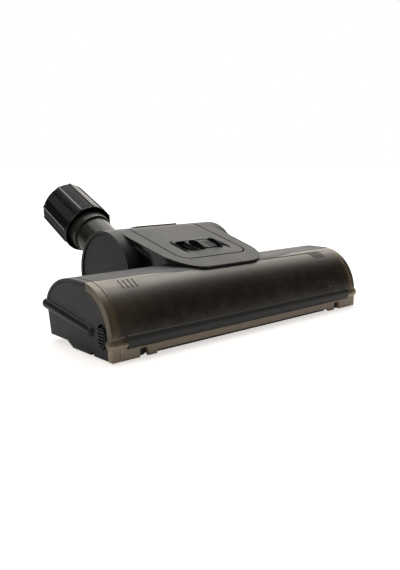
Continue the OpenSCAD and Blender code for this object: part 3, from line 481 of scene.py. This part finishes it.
def round_edges(piece, width, segments=2, angle=32.0, slot=-1):
    """Rounds a piece's sharp edges and smooths its shading."""
    bevel_edges(piece, width, segments, angle, slot)
    smooth_faces(piece)


def settle(piece, matrix=None):
    """Moves the mesh of a piece to its place and leaves its object at the origin."""
    activate(piece)
    bpy.ops.object.transform_apply(location=True, rotation=True, scale=True)
    if matrix is not None:
        piece.data.transform(matrix)
        piece.data.update()


def painted(piece, material):
    """Gives a piece one material and returns the piece."""
    piece.data.materials.clear()
    piece.data.materials.append(finishes()[material])
    return piece


def paint_picked(piece, material):
    """In edit mode, gives the picked faces another material."""
    piece.data.materials.append(finishes()[material])
    assign(piece, len(piece.data.materials) - 1)


def dress(piece, node):
    """Gives a piece its body and lets it stand for its CAD node."""
    fresh()
    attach(piece, NODE_BODY[node])
    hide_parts(node)


def neck_place(along):
    """Matrix of the neck's own axes, that many millimetres along the neck from its pivot."""
    return (Matrix.Translation(mm(*PIVOT)) @ Matrix.Rotation(math.radians(NECK_TILT - 90.0), 4, "X")
            @ Matrix.Translation(mm(0, 0, along)))


def turned(name, profile, sides):
    """Spins a closed profile of (radius, height) points round Z, by extruding a ring from point to point."""
    piece = primitive(name, "circle", vertices=sides, radius=profile[0][0] * MM, location=(0, 0, 0))
    bpy.ops.mesh.select_mode(type="EDGE")
    bpy.ops.mesh.select_all(action="SELECT")
    bpy.ops.transform.translate(value=(0, 0, profile[0][1] * MM))
    before = profile[0]
    for radius, height in profile[1:] + profile[:1]:
        bpy.ops.mesh.extrude_edges_move(TRANSFORM_OT_translate={"value": (0, 0, (height - before[1]) * MM)})
        factor = radius / before[0]
        bpy.ops.transform.resize(value=(factor, factor, 1.0), center_override=(0, 0, 0))
        before = (radius, height)
    bpy.ops.mesh.select_all(action="SELECT")
    bpy.ops.mesh.remove_doubles(threshold=1e-6)
    bpy.ops.mesh.normals_make_consistent(inside=False)
    return piece


def softened(node, width, material, edge=None):
    """A copy of a CAD shell with its triangles joined, and with its edges rounded if a width is given."""
    piece = frame["nodes"][node].copy()
    piece.data = piece.data.copy()
    piece.name = node + "_moulding"
    bpy.context.scene.collection.objects.link(piece)
    activate(piece)
    bpy.ops.object.mode_set(mode="EDIT")
    bpy.ops.mesh.select_mode(type="VERT")
    bpy.ops.mesh.select_all(action="SELECT")
    bpy.ops.mesh.remove_doubles(threshold=2e-6)
    bpy.ops.mesh.dissolve_limited(angle_limit=math.radians(0.4))
    bpy.ops.object.mode_set(mode="OBJECT")
    piece.data.set_sharp_from_angle(angle=math.pi)
    painted(piece, material)
    if edge:
        piece.data.materials.append(finishes()[edge])
    if width is not None:
        round_edges(piece, width, slot=1 if edge else -1)
        dress(piece, node)
    return piece


# Where the hood's rims start, out from the middle, and where its skirt ends, up from the floor.
HOOD_RIM, HOOD_SKIRT = 128.5, 12.75


class TURBO_OT_hood(bpy.types.Operator):
    """Rounds the hood's edges, cuts its faces at its rims and skirt and gives these their finish"""

    bl_idname = "turbo.hood"
    bl_label = "Hood"

    def execute(self, context):
        hood = softened("hood", None, "smoke")
        bevel_edges(hood, 0.5 * context.scene.turbo_sizes.edge_round)
        activate(hood)
        bpy.ops.object.mode_set(mode="EDIT")
        for place, normal in (((HOOD_RIM, 0, 0), (1, 0, 0)), ((-HOOD_RIM, 0, 0), (1, 0, 0)),
                              ((0, 0, HOOD_SKIRT), (0, 0, 1))):
            bpy.ops.mesh.select_all(action="SELECT")
            bpy.ops.mesh.bisect(plane_co=mm(*place), plane_no=normal)
        pick(hood, "faces", lambda f: abs(f.calc_center_median().x) > HOOD_RIM * MM)
        paint_picked(hood, "smoke_rim")
        # The skirt gets a pale brown, which is painted light shining through it.
        pick(hood, "faces", lambda f: f.calc_center_median().z < HOOD_SKIRT * MM)
        paint_picked(hood, "smoke_skirt")
        bpy.ops.object.mode_set(mode="OBJECT")
        smooth_faces(hood)
        dress(hood, "hood")
        return {"FINISHED"}


class TURBO_OT_shells(bpy.types.Operator):
    """Rounds the edges of the moulded shells"""

    bl_idname = "turbo.shells"
    bl_label = "Moulded shells"

    def execute(self, context):
        width = context.scene.turbo_sizes.edge_round
        for node, material, share, *edge in SHELLS:
            softened(node, width * share, material, *edge)
        return {"FINISHED"}


SHELLS = (
    ("rear_cover", "cheek", 0.8),
    # The end discs' rounded rims get a painted highlight.
    ("end_disc_left", "disc", 1.4, "worn"), ("end_disc_right", "disc", 1.4, "worn"),
    ("neck_barrel", "neck", 0.8), ("neck_tube", "neck", 0.8),
    ("front_bumper", "strip", 0.6), ("side_bumper_left", "rubber", 0.0),
    ("side_bumper_right", "rubber", 0.0), ("rear_wheel_left", "cheek", 0.6),
    ("rear_wheel_right", "cheek", 0.6), ("rear_tyre_left", "rubber", 0.6),
    # The impeller keeps the dark roll-core grey as painted shade in the chamber under the slider.
    ("rear_tyre_right", "rubber", 0.6), ("turbine_impeller", "core", 0.4),
)

# The nut's start along the neck, and its inside and outside as (radius, height) points.
NUT_START, NUT_LENGTH = 66.8, 52.7
NUT_PROFILE = [(21.85, NUT_LENGTH), (21.85, 11.0), (25.5, 8.0), (25.5, 0.7), (26.2, 0.0), (26.8, 0.0),
               (27.2, 0.6), (27.2, 1.6), (26.4, NUT_LENGTH - 0.9), (25.2, NUT_LENGTH)]
NUT_SKIN, NUT_GRIP = 26.3, (1.2, 51.0)
NUT_SIDES = 360
# The nut's pattern in degrees round it, then its reliefs in millimetres.
NUT_BAND, BAND_MARGIN, GROOVE_STEP = 30.0, 3.0, 3
RIDGE_HALF, CREST_HALF = 2.0, 1.0
RIBS_HALF, RIB_STEP = 10.0, 4
PANEL_FLATNESS, BAND_FLATNESS = 0.27, 0.5
RIDGE_HEIGHT, CREST_HEIGHT, RIB_HEIGHT, GROOVE_DEPTH = 0.5, 0.4, 0.35, 0.5


class TURBO_OT_nut(bpy.types.Operator):
    """Models the clamp nut: flat panels with low ribs, between knurled bands edged by raised ridges"""

    bl_idname = "turbo.nut"
    bl_label = "Clamp nut"

    def execute(self, context):
        step = 360.0 / context.scene.turbo_sizes.band_count
        panel = step - NUT_BAND
        nut = turned("clamp_nut_ribbed", NUT_PROFILE, NUT_SIDES)

        def turn_of(place):
            return math.degrees(math.atan2(place.y, place.x)) % step

        def flatten(middle, half, share):
            for off in range(int(half)):
                flat = math.cos(math.radians(half)) / math.cos(math.radians(off))
                pick(nut, "verts", lambda v: Vector(v.co.xy).length > NUT_SKIN * MM
                     and abs(abs(turn_of(v.co) - middle) - off) < 0.3)
                factor = 1.0 - share * (1.0 - flat)
                bpy.ops.transform.resize(value=(factor, factor, 1.0), center_override=(0, 0, 0))

        def from_ridge(turn):
            return min(turn, step - turn, abs(turn - panel))

        def on_rib(turn):
            return abs(turn - panel / 2) < RIBS_HALF and int(turn - panel / 2 + 60.0) % RIB_STEP == 0

        def in_groove(turn):
            return (BAND_MARGIN < turn - panel < NUT_BAND - BAND_MARGIN
                    and int(turn - panel) % GROOVE_STEP != 1)

        def raise_where(test, lift, material=None):
            def chosen(face):
                place = face.calc_center_median()
                outward = face.normal.xy.dot(place.xy.normalized()) > 0.8
                return outward and NUT_GRIP[0] * MM < place.z < NUT_GRIP[1] * MM and test(turn_of(place))

            pick(nut, "faces", chosen)
            bpy.ops.mesh.extrude_region_shrink_fatten(TRANSFORM_OT_shrink_fatten={"value": lift * MM})
            if material:
                paint_picked(nut, material)

        flatten(panel / 2, panel / 2, PANEL_FLATNESS)
        flatten(panel + NUT_BAND / 2, NUT_BAND / 2, BAND_FLATNESS)
        painted(nut, "nut")
        raise_where(lambda turn: from_ridge(turn) < RIDGE_HALF, RIDGE_HEIGHT)
        # The ridges' crests are raised again and given a painted highlight.
        raise_where(lambda turn: from_ridge(turn) < CREST_HALF, CREST_HEIGHT, "crest")
        # The panels' low ribs get the lighter cheek colour as a painted highlight.
        raise_where(on_rib, RIB_HEIGHT, "cheek")
        # The knurl's grooves are painted as shade.
        raise_where(in_groove, -GROOVE_DEPTH, "painted_shade")
        bpy.ops.object.mode_set(mode="OBJECT")
        round_edges(nut, 0.12 * MM, 1, 40.0)
        settle(nut, neck_place(NUT_START))
        dress(nut, "clamp_nut")
        return {"FINISHED"}


def joined(name, parts):
    """Joins pieces into the first one and names it."""
    activate(parts[0])
    for part in parts[1:]:
        part.select_set(True)
    bpy.ops.object.join()
    parts[0].name = name
    return parts[0]


def bar(name, low, high, round_by=0.2):
    """A rounded bar between two corners, in millimetres."""
    piece = sized_box(name, [b - a for a, b in zip(low, high)], [(a + b) / 2 for a, b in zip(low, high)])
    bpy.ops.object.mode_set(mode="OBJECT")
    settle(piece)
    round_edges(piece, round_by * MM, 2)
    return piece


def cut_away(piece, tool):
    """Settles a cutting shape, takes it out of a piece and removes it."""
    bpy.ops.object.mode_set(mode="OBJECT")
    settle(tool)
    modify(piece, "BOOLEAN", operation="DIFFERENCE", object=tool, solver="EXACT")
    bpy.data.objects.remove(tool)


def plate_place():
    """Matrix of the sloping cover plate at the place of the air slider, with Z out of the plate."""
    slope = math.radians(PLATE_SLOPE)
    tangent = Vector(DRUM) + Vector((0, -math.sin(slope), math.cos(slope))) * DRUM_R
    along = (SLIDER[1] - tangent.y) / math.cos(slope)
    return (Matrix.Translation(tangent * MM) @ Matrix.Rotation(slope, 4, "X")
            @ Matrix.Translation(mm(SLIDER[0], along, -POCKET_DEPTH)))


# How far out the risers reach, and where the drum's rims start.
RISER_REACH, RIM_PLACE = 54.0, 61.0


class TURBO_OT_housing(bpy.types.Operator):
    """Rounds both housings, paints shade on the risers under the plate and paints a highlight on the drum's
    rims
    """

    bl_idname = "turbo.housing"
    bl_label = "Housings"

    def execute(self, context):
        def on_riser(face):
            inside = abs(face.calc_center_median().x) < RISER_REACH * MM
            return inside and abs(face.normal.z) < 0.75 and abs(face.normal.x) > 0.25

        def on_rim(face):
            place = face.calc_center_median()
            reach = math.hypot(place.y - DRUM[1] * MM, place.z - DRUM[2] * MM)
            return (0.25 < abs(face.normal.x) < 0.98 and abs(place.x) > RIM_PLACE * MM
                    and (DRUM_R - 0.9) * MM < reach < (DRUM_R + 0.3) * MM)

        for node, material in (("upper_housing", "shell"), ("base_housing", "cheek")):
            housing = softened(node, None, material)
            round_edges(housing, context.scene.turbo_sizes.edge_round)
            bpy.ops.object.mode_set(mode="EDIT")
            if node == "upper_housing":
                # The riser walls under the plate are painted as shade.
                pick(housing, "faces", on_riser)
                paint_picked(housing, "gloss")
            # The drum's rims get a painted highlight.
            pick(housing, "faces", on_rim)
            paint_picked(housing, "crest")
            bpy.ops.object.mode_set(mode="OBJECT")
            dress(housing, node)
        return {"FINISHED"}


POCKET_MIDDLE, POCKET_HALF = -4.5, (22.4, 16.0)
SLOT_WIDTH, SLOT_CORNER = 23.5, 6.0
SEAM_WIDTH, SEAM_DEPTH = 0.9, 0.5


class TURBO_OT_lid(bpy.types.Operator):
    """Cuts the seam groove round the turbine lid, paints shade into the groove and the pocket and rounds the
    pocket's mouth
    """

    bl_idname = "turbo.lid"
    bl_label = "Turbine lid"

    def execute(self, context):
        lid = softened("turbine_lid", None, "shell")
        place = plate_place()
        back = place.inverted()
        bpy.ops.object.mode_set(mode="EDIT")

        def on_top(face):
            point = back @ face.calc_center_median()
            outer = point.z > (POCKET_DEPTH - 0.1) * MM or point.y > 17.0 * MM
            return face.normal.z > 0.3 and abs(face.normal.x) < 0.2 and outer

        def in_pocket(face):
            point = back @ face.calc_center_median()
            return (abs(point.x - POCKET_MIDDLE * MM) < (POCKET_HALF[0] + 0.4) * MM
                    and abs(point.y) < (POCKET_HALF[1] + 0.4) * MM and point.z < (POCKET_DEPTH - 0.2) * MM)

        # The outer ring of the lid's top is painted as shade, then sunk into the seam groove.
        pick(lid, "faces", on_top)
        paint_picked(lid, "painted_shade")
        bpy.ops.mesh.inset(thickness=SEAM_WIDTH * MM, depth=0.0, use_even_offset=True)
        assign(lid, 0)
        lid.active_material_index = 1
        bpy.ops.mesh.select_all(action="DESELECT")
        bpy.ops.object.material_slot_select()
        bpy.ops.mesh.extrude_region_shrink_fatten(TRANSFORM_OT_shrink_fatten={"value": -SEAM_DEPTH * MM})
        # The pocket is painted as shade.
        pick(lid, "faces", in_pocket)
        assign(lid, 1)
        bpy.ops.object.mode_set(mode="OBJECT")
        round_edges(lid, 0.2 * MM, 2)
        surround = bar("surround", (POCKET_MIDDLE - POCKET_HALF[0], -POCKET_HALF[1], 0.2),
                       (POCKET_MIDDLE + POCKET_HALF[0], POCKET_HALF[1], POCKET_DEPTH - 0.02), 0.1)
        slot = sized_box("slot", (2 * POCKET_HALF[0] - 0.4, SLOT_WIDTH, 9.0), (POCKET_MIDDLE, 0, 2.0))
        pick(slot, "edges", upright)
        bpy.ops.mesh.bevel(offset=SLOT_CORNER * MM, segments=8)
        cut_away(surround, slot)
        settle(surround, place)
        dress(joined("turbine_lid_moulding", [lid, painted(surround, "shell")]), "turbine_lid")
        return {"FINISHED"}


# The air slider's pieces, along its slot, across it and above the pocket's floor.
SHUTTER = (-17, -11.4, 0.1), (17, 11.4, 1.4)
PLATE_SIZE, PLATE_MIDDLE = (30.2, 22.8, 2.6), (1.9, 0, 2.3)
FINS = (-8.6, 12.4)
FIN_THICK, FIN_HALF, FIN_LIFT = 1.7, (10.6, 5.6), 2.1
SCOOP_HALF, SCOOP_MIDDLE = (3.4, 9.2, 2.2), (FINS[0] - 1.0, 0, 3.7)
SADDLE = (FINS[0] + 0.6, -8.2, 1.0), (FINS[1] - 0.6, 8.2, 3.9)
THUMB_MIDDLE, THUMB_STEP = 1.9, 3.0
THUMB_RIB, THUMB_TOP, THUMB_HOLLOW = (0.65, 7.6, 3.2), 4.3, 0.15
FOOT = (-6, -4.3, -3.4), (6, 4.3, -1.9)
STEM = (-3, -2.3, -2.0), (3, 2.3, 0.4)


class TURBO_OT_slider(bpy.types.Operator):
    """Models the air slider: a shutter, a plate flush with the cover and a ribbed saddle between fins"""

    bl_idname = "turbo.slider"
    bl_label = "Air slider"

    def execute(self, context):
        plate = sized_box("plate", PLATE_SIZE, PLATE_MIDDLE)
        bpy.ops.object.mode_set(mode="OBJECT")
        settle(plate)
        scoop = primitive("scoop", "uv_sphere", segments=48, ring_count=24, radius=1.0, location=(0, 0, 0))
        bpy.ops.transform.resize(value=mm(*SCOOP_HALF), center_override=(0, 0, 0))
        bpy.ops.transform.translate(value=mm(*SCOOP_MIDDLE))
        cut_away(plate, scoop)
        round_edges(plate, 0.3 * MM, 2)
        # The shutter is a dark sheet of painted shade under the slider's plate.
        parts = [painted(bar("shutter", *SHUTTER), "painted_shade"), painted(plate, "shell")]
        for place in FINS:
            fin = primitive("fin", "cylinder", vertices=64, radius=1.0, depth=FIN_THICK * MM,
                            location=(0, 0, 0), rotation=(0, math.pi / 2, 0))
            bpy.ops.transform.resize(value=(1.0, *mm(*FIN_HALF)), center_override=(0, 0, 0))
            pick(fin, "faces", lambda f: len(f.verts) > 8)
            bpy.ops.mesh.inset(thickness=0.5 * MM, depth=-0.25 * MM, use_individual=True)
            bpy.ops.mesh.select_all(action="SELECT")
            bpy.ops.transform.translate(value=mm(place, 0, FIN_LIFT))
            bpy.ops.object.mode_set(mode="OBJECT")
            settle(fin)
            round_edges(fin, 0.25 * MM, 2)
            # The fins are painted black as shade.
            parts.append(painted(fin, "black"))
        # The saddle between the fins is painted as shade.
        parts.append(painted(bar("saddle", *SADDLE), "painted_shade"))
        for i in range(-2, 3):
            middle, top = THUMB_MIDDLE + THUMB_STEP * i, THUMB_TOP + THUMB_HOLLOW * i * i
            half, reach, low = THUMB_RIB
            rib = bar("rib", (middle - half, -reach, low), (middle + half, reach, top))
            # The saddle's ribs get a painted highlight.
            parts.append(painted(rib, "worn"))
        for name, corners in (("foot", FOOT), ("stem", STEM)):
            parts.append(painted(bar(name, *corners), "black"))
        slider = joined("air_slider_ribbed", parts)
        settle(slider, plate_place())
        dress(slider, "air_slider")
        return {"FINISHED"}


# The latch button facing up: an oval with a dished face, five ribs, a stem and the tongue behind it.
OVAL_R, OVAL_SHIFT, OVAL_THICK = 4.75, 2.5, 2.8
DISH_MARGIN, DISH_DEPTH = 1.0, 1.1
BUTTON_RIB, BUTTON_STEP = (3.4, 0.45, -0.2, 1.75), 2.3
BUTTON_STEM = (-2.1, -4.1, -3.7), (2.1, 4.1, -1.2)
BUTTON_TONGUE = (-3.4, -5.0, -5.4), (3.4, 5.0, -3.4)


class TURBO_OT_latches(bpy.types.Operator):
    """Models the two oval latch buttons with their ribs"""

    bl_idname = "turbo.latches"
    bl_label = "Latch buttons"

    def execute(self, context):
        for side, node in ((1, "latch_button_right"), (-1, "latch_button_left")):
            low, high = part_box(node)
            face = max(abs(low[0]), abs(high[0]))
            button = primitive("button", "cylinder", vertices=48, radius=OVAL_R * MM, depth=OVAL_THICK * MM,
                               location=(0, 0, 0))
            for way in (1, -1):
                pick(button, "verts", lambda v: v.co.y * way > 0.01 * MM)
                bpy.ops.transform.translate(value=mm(0, OVAL_SHIFT * way, 0))
            pick(button, "faces", lambda f: f.normal.z > 0.9)
            bpy.ops.mesh.inset(thickness=DISH_MARGIN * MM, depth=0.0)
            bpy.ops.mesh.extrude_region_move(TRANSFORM_OT_translate={"value": mm(0, 0, -DISH_DEPTH)})
            bpy.ops.object.mode_set(mode="OBJECT")
            round_edges(button, 0.25 * MM, 2)
            reach, half, bottom, top = BUTTON_RIB
            ribs = [bar("rib", (-reach, BUTTON_STEP * i - half, bottom), (reach, BUTTON_STEP * i + half, top))
                    for i in range(-2, 3)]
            stem, tongue = bar("stem", *BUTTON_STEM), bar("tongue", *BUTTON_TONGUE)
            latch = painted(joined(node + "_ribbed", [button, *ribs, stem, tongue]), "nut")
            turn = Matrix(((0, 0, side), (side, 0, 0), (0, 1, 0))).to_4x4()
            place = Matrix.Translation(((face - top * MM) * side, *mm(*BUTTON)))
            settle(latch, place @ turn)
            dress(latch, node)
        return {"FINISHED"}


TUFT_ROWS, TUFTS_PER_HALF, TUFT_LENGTH = 4, 14, 11.0
ROLL_HALF, ROLL_MARGIN, ROLL_TWIST, CORE_R = 122.1, 10, 100, 11.0
TUFT_START = 4
BELT_X, BELT_ROOM = 54.0, 8.5
STRAND_FOOT, STRAND_TIP, TUFT_FLARE = 0.2, 0.13, 1.35
# The strands of a tuft, as distance and angle from its middle one.
STRANDS = [(0.6, 60 * i) for i in range(6)] + [(1.2, 30 * i + 11) for i in range(12)]


class TURBO_OT_bristles(bpy.types.Operator):
    """Models one tuft of bristles and sets its copies in chevron rows round the roll"""

    bl_idname = "turbo.bristles"
    bl_label = "Bristles"

    def execute(self, context):
        tuft = primitive("tuft", "cone", vertices=4, radius1=STRAND_FOOT * MM, radius2=STRAND_TIP * MM,
                         depth=TUFT_LENGTH * MM, end_fill_type="NGON", location=mm(0, 0, TUFT_LENGTH / 2))
        for spread, turn in STRANDS:
            bpy.ops.mesh.select_all(action="DESELECT")
            mesh = bmesh.from_edit_mesh(tuft.data)
            mesh.verts.ensure_lookup_table()
            for vert in mesh.verts[:8]:
                vert.select_set(True)
            mesh.select_flush(True)
            bmesh.update_edit_mesh(tuft.data)
            a = math.radians(turn)
            bpy.ops.mesh.duplicate_move(TRANSFORM_OT_translate={
                "value": mm(spread * math.cos(a), spread * math.sin(a), 0)})
        pick(tuft, "verts", lambda v: v.co.z > 8 * MM)
        bpy.ops.transform.resize(value=(TUFT_FLARE, TUFT_FLARE, 1.0), center_override=(0, 0, 0))
        bpy.ops.object.mode_set(mode="OBJECT")
        settle(tuft)
        copies = []
        for row, side, i in itertools.product(range(TUFT_ROWS), (-1, 1), range(TUFTS_PER_HALF)):
            x = side * (TUFT_START + (ROLL_HALF - ROLL_MARGIN) * (i + 0.5) / TUFTS_PER_HALF)
            if abs(x - BELT_X) <= BELT_ROOM:
                continue
            turn = math.radians(360 * row / TUFT_ROWS + ROLL_TWIST * abs(x) / ROLL_HALF)
            copy = tuft.copy()
            copy.data = tuft.data.copy()
            context.scene.collection.objects.link(copy)
            copy.data.transform(Matrix.Translation(mm(x, *ROLL)) @ Matrix.Rotation(turn, 4, "X")
                                @ Matrix.Translation(mm(0, 0, CORE_R + 0.1)))
            copies.append(copy)
        bpy.data.objects.remove(tuft)
        brush = joined("bristle_strands", copies)
        painted(brush, "bristle")
        dress(brush, "bristle_tufts")
        return {"FINISHED"}


# The camera's place, its two directions, its lens and its shift, as fitted to the photograph.
CAMERA_PLACE = (-0.3741, -0.5047, 0.1370)
CAMERA_AHEAD = (0.6528, 0.7337, -0.1882)
CAMERA_UP = (0.1251, 0.1406, 0.9820)
CAMERA_LENS = 41.56
CAMERA_SHIFT = (0.0007, -0.0026)
# Name, place, width and power of each lamp.
LAMPS = (("lamp_top", (0.15, 0.3, 1.6), 1.8, 17.0), ("lamp_left", (-1.6, 0.3, 1.2), 0.8, 6.0))
FLOOR_SIZE = 14.0
# The floor's own glow in the camera's eye only, from its middle out to where it turns white.
GLOW_COLOUR, GLOW_RAMP = (1.0, 0.965, 0.935, 1.0), (0.3, 1.4, 0.66, 1.1)
# The side that the studio's light comes from, and how its strength falls off away from it.
BRIGHT_SIDE, SKY_RAMP = (0.62, 0.66, 0.42), (0.66, 0.97, 0.035, 1.85)
SKY_WARM, SKY_WHITE = (1.0, 0.96, 0.91), (1.0, 1.0, 1.0)


def stage_floor():
    """A wide pale floor that keeps the brush's shadow and turns white far out."""
    bpy.ops.object.select_all(action="DESELECT")
    bpy.ops.mesh.primitive_plane_add(size=FLOOR_SIZE, location=(0, 0, 0))
    floor = bpy.context.active_object
    floor.name = "stage_floor"
    material = bpy.data.materials.new("stage_pale")
    material.use_nodes = True
    tree = material.node_tree
    shader = tree.nodes["Principled BSDF"]
    for label, value in (("Base Color", (*panel_colour("floor"), 1.0)), ("Roughness", 0.85),
                         ("Specular IOR Level", 0.1), ("Emission Color", GLOW_COLOUR)):
        shader.inputs[label].default_value = value
    looked = tree.nodes.new("ShaderNodeLightPath")
    place = tree.nodes.new("ShaderNodeTexCoord")
    away = tree.nodes.new("ShaderNodeVectorMath")
    away.operation = "LENGTH"
    tree.links.new(place.outputs["Object"], away.inputs[0])
    glow = ramp_node(tree, away.outputs["Value"], *GLOW_RAMP)
    tree.links.new(math_node(tree, "MULTIPLY", looked.outputs["Is Camera Ray"], glow),
                   shader.inputs["Emission Strength"])
    floor.data.materials.append(material)


def stage_world():
    """A world that is white to the eye and lights the brush softly from one side."""
    world = bpy.data.worlds.new("stage_world")
    bpy.context.scene.world = world
    world.use_nodes = True
    tree = world.node_tree
    back = tree.nodes["Background"]
    path = tree.nodes.new("ShaderNodeLightPath")
    seen = math_node(tree, "MAXIMUM", path.outputs["Is Camera Ray"], path.outputs["Is Transmission Ray"])
    where = tree.nodes.new("ShaderNodeTexCoord")
    toward = tree.nodes.new("ShaderNodeVectorMath")
    toward.operation = "DOT_PRODUCT"
    toward.inputs[1].default_value = BRIGHT_SIDE
    tree.links.new(where.outputs["Generated"], toward.inputs[0])
    sky = ramp_node(tree, toward.outputs["Value"], *SKY_RAMP, curve="SMOOTHSTEP")
    strength = tree.nodes.new("ShaderNodeMix")
    strength.data_type = "FLOAT"
    strength.inputs["B"].default_value = 1.0
    tree.links.new(seen, strength.inputs["Factor"])
    tree.links.new(sky, strength.inputs["A"])
    tree.links.new(strength.outputs["Result"], back.inputs["Strength"])
    tree.links.new(mix_node(tree, seen, SKY_WARM, SKY_WHITE), back.inputs["Color"])


def stage_lamps():
    """Two soft lamps that look at the middle of the stage."""
    for name, place, size, power in LAMPS:
        data = bpy.data.lights.new(name, "AREA")
        data.size = size
        data.energy = power
        lamp = bpy.data.objects.new(name, data)
        bpy.context.scene.collection.objects.link(lamp)
        lamp.location = place
        lamp.rotation_euler = (-Vector(place)).to_track_quat("-Z", "Y").to_euler()


def photo_camera():
    """The camera at the photograph's angle."""
    data = bpy.data.cameras.new("photo_camera")
    data.sensor_fit = "AUTO"
    data.sensor_width = 36.0
    data.lens = CAMERA_LENS
    data.shift_x, data.shift_y = CAMERA_SHIFT
    data.clip_start = 0.01
    camera = bpy.data.objects.new("photo_camera", data)
    ahead = Vector(CAMERA_AHEAD).normalized()
    right = ahead.cross(Vector(CAMERA_UP)).normalized()
    turn = Matrix((right, right.cross(ahead), -ahead)).transposed()
    camera.matrix_world = Matrix.Translation(CAMERA_PLACE) @ turn.to_4x4()
    bpy.context.scene.collection.objects.link(camera)
    bpy.context.scene.camera = camera


class TURBO_OT_stage(bpy.types.Operator):
    """Adds the pale floor and backdrop, the lamps and the camera"""

    bl_idname = "turbo.stage"
    bl_label = "Stage"

    def execute(self, context):
        stage_floor()
        stage_world()
        stage_lamps()
        photo_camera()
        context.scene.view_settings.view_transform = "Standard"
        return {"FINISHED"}


class TURBO_PT_panel(bpy.types.Panel):
    """Lists the steps and the values that may be changed"""

    bl_idname = "TURBO_PT_panel"
    bl_label = "Turbo brush"
    bl_space_type = "VIEW_3D"
    bl_region_type = "UI"
    bl_category = "Turbo brush"

    def draw(self, context):
        for group in (context.scene.turbo_sizes, context.scene.turbo_colours):
            for key in group.__annotations__:
                self.layout.prop(group, key)
        for operator in STEPS:
            self.layout.operator(operator.bl_idname)


STEPS = (TURBO_OT_finishes, TURBO_OT_hood, TURBO_OT_shells, TURBO_OT_housing, TURBO_OT_nut, TURBO_OT_lid,
         TURBO_OT_slider, TURBO_OT_latches, TURBO_OT_bristles, TURBO_OT_stage)
CLASSES = (TurboBrushSizes, TurboBrushColours, *STEPS, TURBO_PT_panel)


def register():
    """Registers the classes and hangs the two groups of values on the scene."""
    for item in CLASSES:
        bpy.utils.register_class(item)
    bpy.types.Scene.turbo_sizes = bpy.props.PointerProperty(type=TurboBrushSizes)
    bpy.types.Scene.turbo_colours = bpy.props.PointerProperty(type=TurboBrushColours)


def unregister():
    """Takes the groups of values and the classes away again."""
    del bpy.types.Scene.turbo_colours
    del bpy.types.Scene.turbo_sizes
    for item in reversed(CLASSES):
        bpy.utils.unregister_class(item)


def main():
    register()
    for step in STEPS:
        getattr(bpy.ops.turbo, step.bl_idname.split(".")[1])()


if __name__ == "__main__":
    main()
